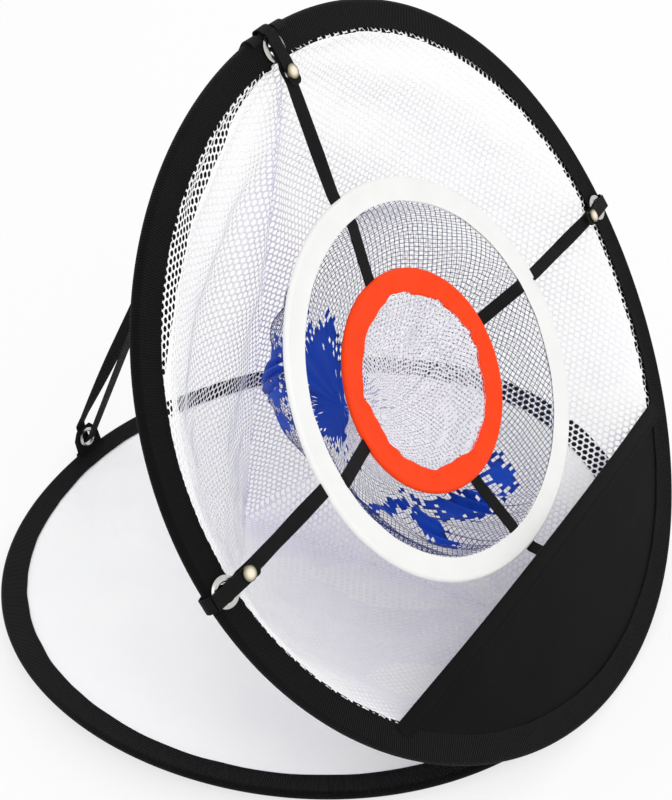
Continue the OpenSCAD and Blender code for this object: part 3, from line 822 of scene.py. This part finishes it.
def find_strip(flat, pattern):
    """For flat points, their share k down the hoop and t across, and whether they are in the pattern."""
    strip_k, rim, rear = pattern
    k = np.zeros(len(flat))
    t = np.full(len(flat), 9.0)
    for i in range(STRIPS):
        edge, far = rim[i + 1] - rim[i], rear[i + 1] - rear[i]
        g, h = rear[i] - rim[i], flat - rim[i]
        quad = -cross(edge, far - edge)
        lin = cross(h, far - edge) - cross(edge, g)
        const = cross(h, g)
        root = np.sqrt(np.maximum(lin ** 2 - 4 * quad * const, 0))
        for sign in (-1, 1):
            below = lin + sign * root
            a = -2 * const / np.where(np.abs(below) < 1e-9, 1e-9, below)
            start = rim[i] + a[:, None] * edge
            ruling = rear[i] + a[:, None] * far - start
            share = ((flat - start) * ruling).sum(1) / np.maximum((ruling ** 2).sum(1), 1e-9)
            length = np.sqrt((ruling ** 2).sum(1))
            hit = ((a >= 0) & (a < 1) & (share * length > -NET_TUCK) & ((share - 1) * length < RIDGE_OVERRUN)
                   & (np.abs(share - 0.5) < np.abs(t - 0.5)))
            share = np.where(share < 0, share * length / NET_TUCK, np.minimum(share, 1))
            k = np.where(hit, strip_k[i] + a * (strip_k[i + 1] - strip_k[i]), k)
            t = np.where(hit, share, t)
    return k, t, t < 8


pattern = roll_out()
corners = np.concatenate(pattern[1:])
pattern_low, pattern_high = corners.min(0), corners.max(0)
print("flat pattern of one side, mm:", (pattern_high - pattern_low).round())

# %% [markdown]
# The cells are 5 mm wide and 5.9 mm high, of threads 1.5 mm thick. Folds run down the net between
# the hoop and the rear edge; near the ground the slack net lies in soft heaps, which only rise,
# so that none sinks into the ground cloth. Along the rear edge and in the heaps, where two layers
# bunch, the net is painted a little lilac, painted shade in its folds, and its UV map carries that
# to the material.

# %% Hang both sides of the net
CELL_W = 5.0
CELL_H = 5.9
ROW_STEP = 0.75 * CELL_H
THREAD = 1.5
THREAD_RISE = 0.28
NET_CUT_R = 7.5         # the net is cut away round the eyelets


def net_folds(place, k, t):
    """How far the net is pushed off its plain surface, in mm, along its normal."""
    free = unit(t / 0.12) * unit((1 - t) / 0.06)
    drapes = 3.2 * np.sin(2 * math.pi * (2.6 * t + 1.3 * np.sin(3 * k))) * unit(1.3 - k)
    crumple = 3.0 * ripple(place, 46, 1.0) + 1.5 * ripple(place, 19, 2.0)
    return free * (drapes * unit(k / 0.2) + crumple)


def hang_net(name, side):
    columns = int((pattern_high[0] - pattern_low[0]) / CELL_W) + 4
    rows = 2 * (int((pattern_high[1] - pattern_low[1]) / ROW_STEP / 2) + 3)
    net = flat_net(name, 6, CELL_W, CELL_H, ROW_STEP, columns, rows, pattern_low - 8)
    k, t, inside = find_strip(points_of(net)[:, :2] / MM, pattern)
    place = net_surface(k, t, side)
    for angle in STRAP_ANGLES.values():
        inside &= np.linalg.norm(place - on_face(angle, EYELET_R), axis=1) > NET_CUT_R
    keep_faces(net, inside)
    ridge_points = open_holes(net, THREAD)
    k, t, inside = find_strip(points_of(net)[:, :2] / MM, pattern)
    place = net_surface(k, t, side)
    down = net_surface(k + SMALL, t, side) - net_surface(k - SMALL, t, side)
    over = net_surface(k, unit(t + SMALL), side) - net_surface(k, unit(t - SMALL), side)
    normal = directions(-side * np.cross(down, over))
    push = net_folds(place, k, t) + np.where(ridge_points, THREAD_RISE, 0)
    place = place + normal * push[:, None]
    x, y = place[:, 0], place[:, 1] - BASE_Y
    cloth_top = on_base(np.arctan2(y, x), np.hypot(x, y), -1.5)[:, 2]
    place[:, 2] = np.maximum(place[:, 2], np.where(t > 0.05, cloth_top, -9))
    move_points(net, place * MM)
    # Painted shade: the net's colour turns lilac grey along its rear edge and in its heaps.
    bunched = unit((t - 0.8) / 0.2) + 0.7 * unit((k - 0.6) / 0.2) * (ripple(place, 60, 6.0) > 0)
    set_uv(net, np.stack([unit(bunched), t], 1))
    return net


net_right = hang_net("knitted_catch_net", 1)
net_left = hang_net("knitted_catch_net_left", -1)
pick(net_right)
net_left.select_set(True)
ops.object.join()
catch_net = net_right
catch_net.data.polygons.foreach_set("use_smooth", [False] * len(catch_net.data.polygons))
dress(catch_net, white_net_yarn, "white_net", "catch_net", body="target_frame")
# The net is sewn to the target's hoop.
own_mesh(catch_net)
catch_net.data.calc_loop_triangles()
print("catch net:", len(catch_net.data.loop_triangles), "triangles")

# %% [markdown]
# At the upper left a band of black tape follows the net's own surface, a little outside it, behind
# its first rows, so that black shows through five or six rows of holes. It becomes part of the tape.

# %% A black band behind the net
BLACK_BAND_W = 30.0
BLACK_BAND_START = 94.0
BLACK_BAND_END = 149.0
black_band, turn, share = polar_grid("seam_allowance", 90, 10)
degrees_round = BLACK_BAND_START + (BLACK_BAND_END - BLACK_BAND_START) * turn
k = (degrees_round - 90) / 180
opening = unit((degrees_round - BLACK_BAND_START) / 20) ** 0.8
closing = unit((BLACK_BAND_END - degrees_round) / 28) ** 0.7
wide = 4 + BLACK_BAND_W * opening * closing
reach = share * wide
t = reach / np.linalg.norm(ridge(k) - on_face(np.radians(degrees_round), NET_OPEN, NET_LEVEL), axis=1)
place = net_surface(k, t, -1)
down = net_surface(k + SMALL, t, -1) - net_surface(k - SMALL, t, -1)
over = net_surface(k, t + SMALL, -1) - net_surface(k, t, -1)
inwards = directions(np.cross(down, over))
move_points(black_band, (place + inwards * (net_folds(place, k, t) - 0.9 - 0.03 * reach)[:, None]) * MM)
set_uv(black_band, np.stack([np.radians(degrees_round) * FACE_R, BIND_W + reach], 1))
apply(black_band, "SOLIDIFY", thickness=0.6 * MM, offset=0)
smooth(black_band)
black_band.data.materials.append(black_grosgrain)
pick(face_tape)
black_band.select_set(True)
ops.object.join()
print("seam allowance, mm:", round(float(wide.max()), 1))

# %% [markdown]
# ## The two pockets
#
# Behind each ring hangs a bag of finer net with diamond holes. The flat net is bent round: its
# columns go round the ring and its rows run from the ring to the bag's closed end. The bag is cut
# wider than the ring, so it is gathered: its columns crowd together at a few angles. Where it is
# bunched so tightly that no hole stays open, the cells' middles aren't deleted, and the yarn's
# full colour shows. Such places are written as ovals in the flat net's own coordinates: the turn
# round the ring from 0 to 1, and the share of the way down to the closed end.

# %% A pocket
POCKET_SEAM = 4.0
POCKET_FLAT_W = 1000.0  # the flat net's length round the ring, in its own units


def near(turn, where, spread):
    """1 at one place round the ring, fading to 0 over about spread; both are shares of a turn."""
    return np.exp(-(((turn - where + 0.5) % 1 - 0.5) / spread) ** 2)


def gathered(turn, places):
    """Bends an even turn (0 to 1) so that it crowds at some places: (turn, how much, how wide)."""
    even = np.linspace(0, 1, 2001)
    density = np.ones_like(even)
    for where, amount, width in places:
        density += amount * near(even, where, width)
    reach = np.concatenate([[0], np.cumsum((density[1:] + density[:-1]) / 2)])
    return np.interp(turn, reach / reach[-1], even)


def bunching(turn, down, ovals):
    """Over 1 inside the ovals (turn, down, half turn, half down, lean), and falling to 0 outside."""
    most = np.zeros_like(turn)
    for where, deep, half_turn, half_down, lean in ovals:
        along = down - deep
        away = (turn - where - lean * along + 0.5) % 1 - 0.5
        most = np.maximum(most, 2 - np.hypot(away / half_turn, along / half_down))
    return most


def hang_pocket(name, ring, waves, depth, droop, columns, rows, thread, places, ovals, bulges, pleats, seed):
    radius, width, back = ring
    cell = POCKET_FLAT_W / columns
    net = flat_net(name, 4, cell, cell, cell / 2, columns, 2 * rows, (cell / 2, cell / 2))
    longest = points_of(net)[:, 1].max() / MM

    def tightness(co):
        rough = 0.4 * ripple(co * [0.6, 1, 0], 16, seed) + 0.9 * ripple(co, 4.5, seed + 1)
        return bunching(gathered(co[:, 0] / POCKET_FLAT_W, places), co[:, 1] / longest, ovals) + rough

    ridge_points = open_holes(net, cell * thread, lambda middle: tightness(middle) > 1)
    co = points_of(net) / MM
    turn = gathered(co[:, 0] / POCKET_FLAT_W, places)
    down = unit(co[:, 1] / longest)
    angle = 2 * math.pi * turn
    # Painted light and shade: the net's colour is lighter where it bunches tightly, and soft stretched blotches add
    # painted shading along its folds.
    shade = 1.4 * tightness(co) - 0.7 + 0.5 * ripple(co * [1, 0.4, 0], 18, seed + 2)
    set_uv(net, np.stack([unit(shade), down], 1))
    rim = radius - width - 1
    seam = unit(1 - down / 0.05)
    curve = 0.5 * math.pi * unit((down - 0.03) / 0.97) ** 1.05
    full = np.cos(curve) ** 0.8
    middling = np.sin(math.pi * down) ** 0.8
    flat = laid_flat(angle, 60, 120 * down)
    folds = pleats * (np.sin(14 * angle + 2 * np.sin(3 * angle) + 5 * down) + 1.6 * ripple(flat, 30, seed)) * middling
    for where, amount, spread in bulges:
        folds = folds + amount * near(turn, where, spread) * middling
    crowd = sum(near(turn, where, spread) for where, _, spread in places)
    zigzag = np.sin(2 * math.pi * co[:, 0] / (3.1 * cell)) * 1.5 * pleats * np.minimum(crowd, 1) * middling
    r = rim + POCKET_SEAM * seam
    outwards, through = gather(radius, width, waves, angle, r)
    sewn = unit(1 - down / 0.3)
    r = (r + outwards * sewn + folds + zigzag) * full
    level = -depth * np.sin(curve) * (1 + 0.004 * folds) + through * sewn
    sunk = -droop * np.sin(curve)
    place = on_plane(r * np.cos(angle), r * np.sin(angle) + sunk, level - back)
    middle = on_plane(0 * r, sunk, level - back)
    outward = directions(place - middle, 1e-6)
    move_points(net, (place + outward * np.where(ridge_points, 0.2, 0)[:, None]) * MM)
    edit(net, lambda: ops.mesh.remove_doubles(threshold=0.05 * MM))
    return net


BLUE_PLACES = [(0.40, 1.4, 0.02), (0.27, 0.8, 0.015), (0.71, 1.0, 0.02), (0.78, 1.0, 0.02), (0.02, 0.5, 0.02)]
BLUE_OVALS = [(0.27, 0.86, 0.13, 0.13, 0), (0.50, 0.94, 0.17, 0.09, 0), (0.35, 1.0, 0.6, 0.13, 0),
              (0.40, 0.33, 0.03, 0.16, 0), (0.444, 0.5, 0.012, 0.28, 0), (0.262, 0.22, 0.007, 0.14, -0.2),
              (0.69, 0.60, 0.05, 0.035, 0.3), (0.715, 0.42, 0.012, 0.2, 0.1), (0.766, 0.40, 0.022, 0.15, -0.1),
              (0.817, 0.28, 0.016, 0.10, 0.15)]
BLUE_BULGES = [(0.41, 6, 0.06), (0.55, -26, 0.09)]
WHITE_PLACES = [(0.5, 1.2, 0.04), (0.62, 0.8, 0.03), (0.1, 0.4, 0.03)]
WHITE_OVALS = [(0.5, 0.1, 0.12, 0.06, 0), (0.68, 0.12, 0.14, 0.05, 0), (0.45, 0.85, 0.1, 0.1, 0)]
WHITE_BULGES = [(0.53, 12, 0.09)]
blue_pocket = hang_pocket("blue_net_bag", (MID_R, MID_W, MID_BACK), MID_WAVES, 99, 4, 160, 32, 0.09,
                          BLUE_PLACES, BLUE_OVALS, BLUE_BULGES, 2.6, 3.0)
white_pocket = hang_pocket("white_net_bag", (INNER_R, INNER_W, INNER_BACK), INNER_WAVES, 54, 20, 96, 24, 0.25,
                           WHITE_PLACES, WHITE_OVALS, WHITE_BULGES, 2.5, 8.0)
for pocket, finish, slot, node, body, back, keep in (
        (blue_pocket, blue_net_yarn, "blue_net", "blue_pocket", "middle_ring", MID_BACK, 0.27),
        (white_pocket, white_pocket_yarn, "white_net", "white_pocket", "inner_ring", INNER_BACK, 0.1)):
    dress(pocket, finish, slot, node, body=body)
    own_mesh(pocket)
    pocket.data.calc_loop_triangles()
    print(pocket.name, len(pocket.data.loop_triangles), "triangles")

# %% [markdown]
# ## The straps
#
# A strap is a ribbon that follows a path and may twist on the way. A grid is laid along the path:
# its long direction follows a line that is rounded at its corners, its short one stays square to
# it. The outer straps come from the middle ring, pass under the press stud, down through the
# eyelet and round the hoop, and their tails fold back over the stud.

# %% Ribbons


def soft_path(corners, soften, step=0.5):
    """Points every half millimetre along straight runs whose corners are rounded off."""
    corners = np.array(corners, float)
    reach = np.concatenate([[0], np.cumsum(np.linalg.norm(np.diff(corners, axis=0), axis=1))])
    count = int(reach[-1] / step) + 1
    line = np.stack([np.interp(np.linspace(0, reach[-1], count), reach, corners[:, i]) for i in range(3)], 1)
    half = int(3 * soften / step)
    weight = np.exp(-0.5 * (np.arange(-half, half + 1) * step / soften) ** 2)
    before = 2 * line[0] - line[half:0:-1]
    after = 2 * line[-1] - line[-2:-half - 2:-1]
    full = np.concatenate([before, line, after])
    return np.stack([np.convolve(full[:, i], weight / weight.sum(), "valid") for i in range(3)], 1)


def ribbon(name, corners, across, width, thickness, twist=((0, 0), (1, 0)), soften=1.2, point=0.0, sections=None):
    """A strap along corners in mm. across is its width's direction; twist lists (share, degrees)."""
    path = soft_path(corners, soften)
    length = np.linalg.norm(np.diff(path, axis=0), axis=1).sum()
    strap, share, side = polar_grid(name, sections or max(8, int(length / 1.5)), 4)
    where = share * (len(path) - 1)
    low = np.minimum(where.astype(int), len(path) - 2)
    centre = path[low] + (path[low + 1] - path[low]) * (where - low)[:, None]
    ahead = np.gradient(path, axis=0)
    tangent = directions(ahead[low] + (ahead[low + 1] - ahead[low]) * (where - low)[:, None])
    wide = directions(across - tangent * (tangent @ across)[:, None])
    angle = np.radians(np.interp(share, *zip(*twist)))[:, None]
    wide = wide * np.cos(angle) + np.cross(tangent, wide) * np.sin(angle)
    narrow = 1 - 0.55 * unit((share - 1 + point / length) * length / max(point, 1e-6)) ** 2 if point else 1
    offset = (side - 0.5) * width * narrow
    move_points(strap, (centre + wide * offset[:, None]) * MM)
    set_uv(strap, np.stack([share * length, side * width], 1))
    apply(strap, "SOLIDIFY", thickness=thickness * MM, offset=0)
    smooth(strap, 50)
    return strap


STRAP_W = 10.0
STRAP_T = 0.9
FRONT_B = BIND_R + 0.05
STRAP_TOP = FRONT_B + 1.9
SNAP_B = 3.4
WRAP_OUT = FACE_R + 2.6
TAIL_HINGE_R = FACE_R - 2
TAIL_B = 7.0
TAIL_TIP_R = 221.0
EYELET_D = 20.0
BLEND_START_R = SNAP_R - 14
OUTER_TWIST = {
    "top": ((0, -4), (0.25, -14), (0.5, -8), (0.62, 0), (1, 0)),
    "right": ((0, -50), (0.3, -45), (0.55, 0), (1, 0)),
    "left": ((0, 0), (0.2, 12), (0.4, -8), (0.6, 0), (1, 0)),
}


def seat(angle, r):
    """The direction along the hoop, and a function from (outwards, towards the golfer) in mm to a point."""
    centre, along, out, normal = local_axes(angle, r)
    return along, lambda y, level: centre + y * out + level * normal


def outer_strap(name, angle, twist):
    along, at = seat(angle, EYELET_R)
    ring = on_spoke(angle, MID_R - 3, -MID_BACK)
    edge = on_spoke(angle, MID_R + 5, -MID_BACK + 0.8)
    flange = EYELET_D / 2
    strap = ribbon(name + "_elastic", [
        ring, edge, at(SNAP_R - 6 - EYELET_R, SNAP_B), at(-flange - 2.8, SNAP_B), at(0.3 - flange, STRAP_TOP - 0.4),
        at(0, STRAP_TOP), at(0.4, -FRONT_B - 2), at(FACE_R - EYELET_R - 4, -FRONT_B - 2),
        at(WRAP_OUT - EYELET_R, -2.4), at(WRAP_OUT - EYELET_R, 2.4), at(FACE_R - EYELET_R - 1, FRONT_B + 1.2)],
        along, STRAP_W, STRAP_T, twist, soften=0.8)
    dress(strap, black_elastic, "black_elastic", name + "_strap")
    tuple(at(BLEND_START_R - EYELET_R, SNAP_B) * MM)
    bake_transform(strap)


def tail(name, angle):
    along, at = seat(angle, SNAP_R)
    made = ribbon(name + "_elastic_tail", [
        at(TAIL_HINGE_R - SNAP_R + 1.0, FRONT_B + 2.4), at(TAIL_HINGE_R - SNAP_R, FRONT_B + 3.1),
        at(5.5, TAIL_B + STRAP_T / 2), at(TAIL_TIP_R - SNAP_R, TAIL_B + STRAP_T / 2)],
        along, STRAP_W, STRAP_T, soften=0.9, point=3.0, sections=40)
    dress(made, black_elastic, "black_elastic", name + "_tail", body=name + "_tail")


for name, angle in STRAP_ANGLES.items():
    outer_strap(name, angle, OUTER_TWIST[name])
    tail(name, angle)
print("outer straps and tails made")

# %% The bottom strap, sewn behind the panel, and the four inner straps
BOTTOM_END_R = 222.0
down = -math.pi / 2
hem_level = face_saddle(down, PANEL_DROP + 10) - STRAP_T / 2 - 0.3
bottom = ribbon("bottom_elastic", [
    on_spoke(down, MID_R - 3, -MID_BACK), on_spoke(down, MID_R + 1.5, -MID_BACK),
    on_spoke(down, PANEL_DROP + 10, hem_level),
    on_spoke(down, BOTTOM_END_R, face_saddle(down, BOTTOM_END_R) - STRAP_T / 2 - 0.15)],
    -ACROSS, STRAP_W, STRAP_T)
dress(bottom, black_elastic, "black_elastic", "bottom_strap")
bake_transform(bottom)

for name, degrees in (("top", 91.7), ("right", 2.5), ("left", 182.5), ("bottom", -93.5)):
    angle = math.radians(degrees)
    spoke = math.sin(angle) * ACROSS - math.cos(angle) * UP_FACE
    strap = ribbon("inner_elastic_" + name, [
        on_spoke(angle, INNER_R - 3, -INNER_BACK), on_spoke(angle, INNER_R + 2, -INNER_BACK + 0.6),
        on_spoke(angle, MID_R - MID_W - 2, -MID_BACK + 1.0), on_spoke(angle, MID_R - MID_W + 3, -MID_BACK)],
        spoke, STRAP_W, STRAP_T)
    dress(strap, black_elastic, "black_elastic", "inner_strap_" + name)
    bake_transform(strap)
print("inner straps made")

# %% [markdown]
# ## The rear strap and its tab
#
# One elastic runs from the top of the target hoop down to the ground hoop, through an eyelet in a
# webbing tab, and back up. The tab is doubled webbing folded round the ground hoop. The strap's
# rear run twists until it lies flat towards the golfer's left.

# %% The tab and the rear strap
TAB_X = 6.0
TAB_W = 26.0
TAB_T = 2.4
TAB_LEAN = math.radians(80)
REAR_EYELET_S = 14.0
TAB_END = REAR_EYELET_S + 10.5
BAND_GAP = TAB_T / 2 + 2
BIGHT_S = REAR_EYELET_S - 2
WRAP_R = BIND_R + 0.75
RUN_TURN = [math.radians(92.5 - 2.9), math.radians(92.5 + 2.9)]
REAR_TWIST = ((0, 0), (0.3, 6), (0.475, 0), (0.53, 0), (0.62, -50), (0.86, -50), (0.96, 0), (1, 0))
tab_axis = np.array([TAB_X, *on_base(math.pi / 2, BASE_R - BIND_R)[1:]])


def on_tab(s, n, x=0.0):
    """A point in the tab's plane: s up along it, n out of its front."""
    return (tab_axis + x * ACROSS + s * np.array([0, math.cos(TAB_LEAN), math.sin(TAB_LEAN)])
            + n * np.array([0, -math.sin(TAB_LEAN), math.cos(TAB_LEAN)]))


def around(axis, r, start, stop, count):
    """Points of an arc round an axis along X, from angle start to stop in degrees."""
    return [axis + r * np.array([0, math.cos(a), math.sin(a)]) for a in np.radians(np.linspace(start, stop, count))]


# One layer of webbing: round the hoop's rear, up, folded over the tab's top, and down its front.
LEAF = TAB_T / 4
TAB_CORNER = 8.0
fold_r = WRAP_R + LEAF
tab = ribbon("webbing_tab", around(tab_axis, fold_r, -35, 62, 8)
             + [on_tab(TAB_END - 0.7, -LEAF), on_tab(TAB_END, 0), on_tab(TAB_END - 0.7, LEAF)]
             + around(tab_axis, fold_r, 98, 150, 5), ACROSS, TAB_W, TAB_T / 2, soften=0.5)
co = points_of(tab) / MM
up_tab = (co - tab_axis) @ np.array([0, math.cos(TAB_LEAN), math.sin(TAB_LEAN)])
narrow = 1 - 0.42 * unit((up_tab - TAB_END + TAB_CORNER) / TAB_CORNER)
co[:, 0] = TAB_X + (co[:, 0] - TAB_X) * narrow
move_points(tab, co * MM)
pierce(tab, on_tab(REAR_EYELET_S, 0), (ACROSS, on_tab(1, 0) - tab_axis, on_tab(0, 1) - tab_axis))
dress(tab, black_grosgrain, "black_webbing", "rear_tab", body="ground_frame")

wrap_path_r = WRAP_R + STRAP_T / 2


def hoop_wrap(angle, start, stop, count):
    """Points round the target hoop's tube, from angle start to stop in degrees: 0 outwards, 90 in front."""
    out, normal = local_axes(angle, EYELET_R)[2:]
    centre = on_face(angle, FACE_R - BIND_R)
    turns = np.radians(np.linspace(start, stop, count))
    return [centre + wrap_path_r * (math.cos(a) * out + math.sin(a) * normal) for a in turns]


rear = ribbon("rear_elastic", hoop_wrap(RUN_TURN[1], 100, -28, 9)
              + [on_tab(BIGHT_S, BAND_GAP), on_tab(BIGHT_S - 0.4, 0), on_tab(BIGHT_S, -BAND_GAP),
                 on_tab(TAB_END + 2, -BAND_GAP)] + hoop_wrap(RUN_TURN[0], -28, 100, 9),
              ACROSS, STRAP_W, STRAP_T, REAR_TWIST)
dress(rear, black_elastic, "black_elastic", "rear_strap")
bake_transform(rear)
print("rear strap and tab made")

# %% [markdown]
# ## The hinge web
#
# At the front the two bindings are joined by a short strip of the same tape. It is a grid between
# two curves: the rear of the target's tape, and the front of the ground hoop's.

# %% Hinge web
WEB_HALF = 29.0
WEB_Z = 2.7
web, turn, share = polar_grid("hinge_strip", 30, 6)
x = WEB_HALF * (2 * turn - 1)
rear_y = BASE_Y - np.sqrt((BASE_R + 0.1) ** 2 - x ** 2)
tape_back = on_face(-np.arccos(x / FACE_R), FACE_R - BIND_R, -BIND_R - 0.3)
front_y = tape_back[:, 1] + (WEB_Z - tape_back[:, 2]) * 0.52
move_points(web, np.stack([x, front_y + (rear_y - front_y) * share, WEB_Z + 0.3 * np.sin(math.pi * share)], 1) * MM)
apply(web, "SOLIDIFY", thickness=0.8 * MM, offset=0)
dress(web, black_satin, "black_binding", "hinge_web", body="ground_frame")

# %% [markdown]
# ## Floor and light
#
# The object stands on a plain pale floor under soft studio light. The floor's material shows
# mostly plain white to the camera, to gloss and to glass, and keeps a share of its own shading,
# so that the shadow stays. One broad lamp gives the nets their shape; the world fills in.

# %% Stage
FLOOR_HALF = 4.0
FLOOR_DROP = 0.0006
SHADOW_SHARE = 0.3
floor = new_piece("floor", ops.mesh.primitive_plane_add, size=2 * FLOOR_HALF, location=(0, 0, -FLOOR_DROP))
pick(floor)
ops.object.transform_apply(location=True, rotation=False, scale=False)


def seen_directly(tree):
    """1 for rays from the camera, off gloss and through glass, else 0."""
    rays = add(tree, "LightPath", {})
    gloss = combine(tree, "MAXIMUM", rays.outputs["Is Camera Ray"], rays.outputs["Is Glossy Ray"])
    return combine(tree, "MAXIMUM", gloss, rays.outputs["Is Transmission Ray"])


floor_paint = bpy.data.materials.new("studio_floor_paper")
floor_paint.use_nodes = True
tree = floor_paint.node_tree
tree.nodes.clear()
paper = add(tree, "BsdfDiffuse", {"Color": colour("#f4f4f4")})
glow = add(tree, "Emission", {"Color": (1, 1, 1, 1), "Strength": 1.0})
share = add(tree, "Math", {0: seen_directly(tree), 1: 1 - SHADOW_SHARE}, operation="MULTIPLY")
blend = add(tree, "MixShader", {0: share.outputs[0], 1: paper.outputs[0], 2: glow.outputs[0]})
add(tree, "OutputMaterial", {0: blend.outputs[0]})
floor.data.materials.append(floor_paint)

WORLD_LIGHT = 0.88
world = bpy.data.worlds.new("studio")
bpy.context.scene.world = world
world.use_nodes = True
tree = world.node_tree
tree.nodes.clear()
lit = add(tree, "Background", {"Color": (1, 1, 1, 1), "Strength": WORLD_LIGHT})
white = add(tree, "Background", {"Color": (1, 1, 1, 1), "Strength": 1.0})
blend = add(tree, "MixShader", {0: seen_directly(tree), 1: lit.outputs[0], 2: white.outputs[0]})
add(tree, "OutputWorld", {0: blend.outputs[0]})


def soft_lamp(name, place, size, watts):
    """A square area lamp that points at the target hoop's centre."""
    data = bpy.data.lights.new(name, "AREA")
    data.size = size
    data.energy = watts
    lamp = bpy.data.objects.new(name, data)
    aim = Vector(FACE_C * MM) - Vector(place)
    lamp.matrix_world = Matrix.Translation(place) @ aim.to_track_quat("-Z", "Y").to_matrix().to_4x4()
    bpy.context.scene.collection.objects.link(lamp)


soft_lamp("key", (-1.0, -1.3, 2.0), 1.0, 15)
soft_lamp("rim", (1.6, 0.8, 1.4), 1.0, 4)
bpy.context.scene.view_settings.view_transform = "Standard"
print("stage ready")
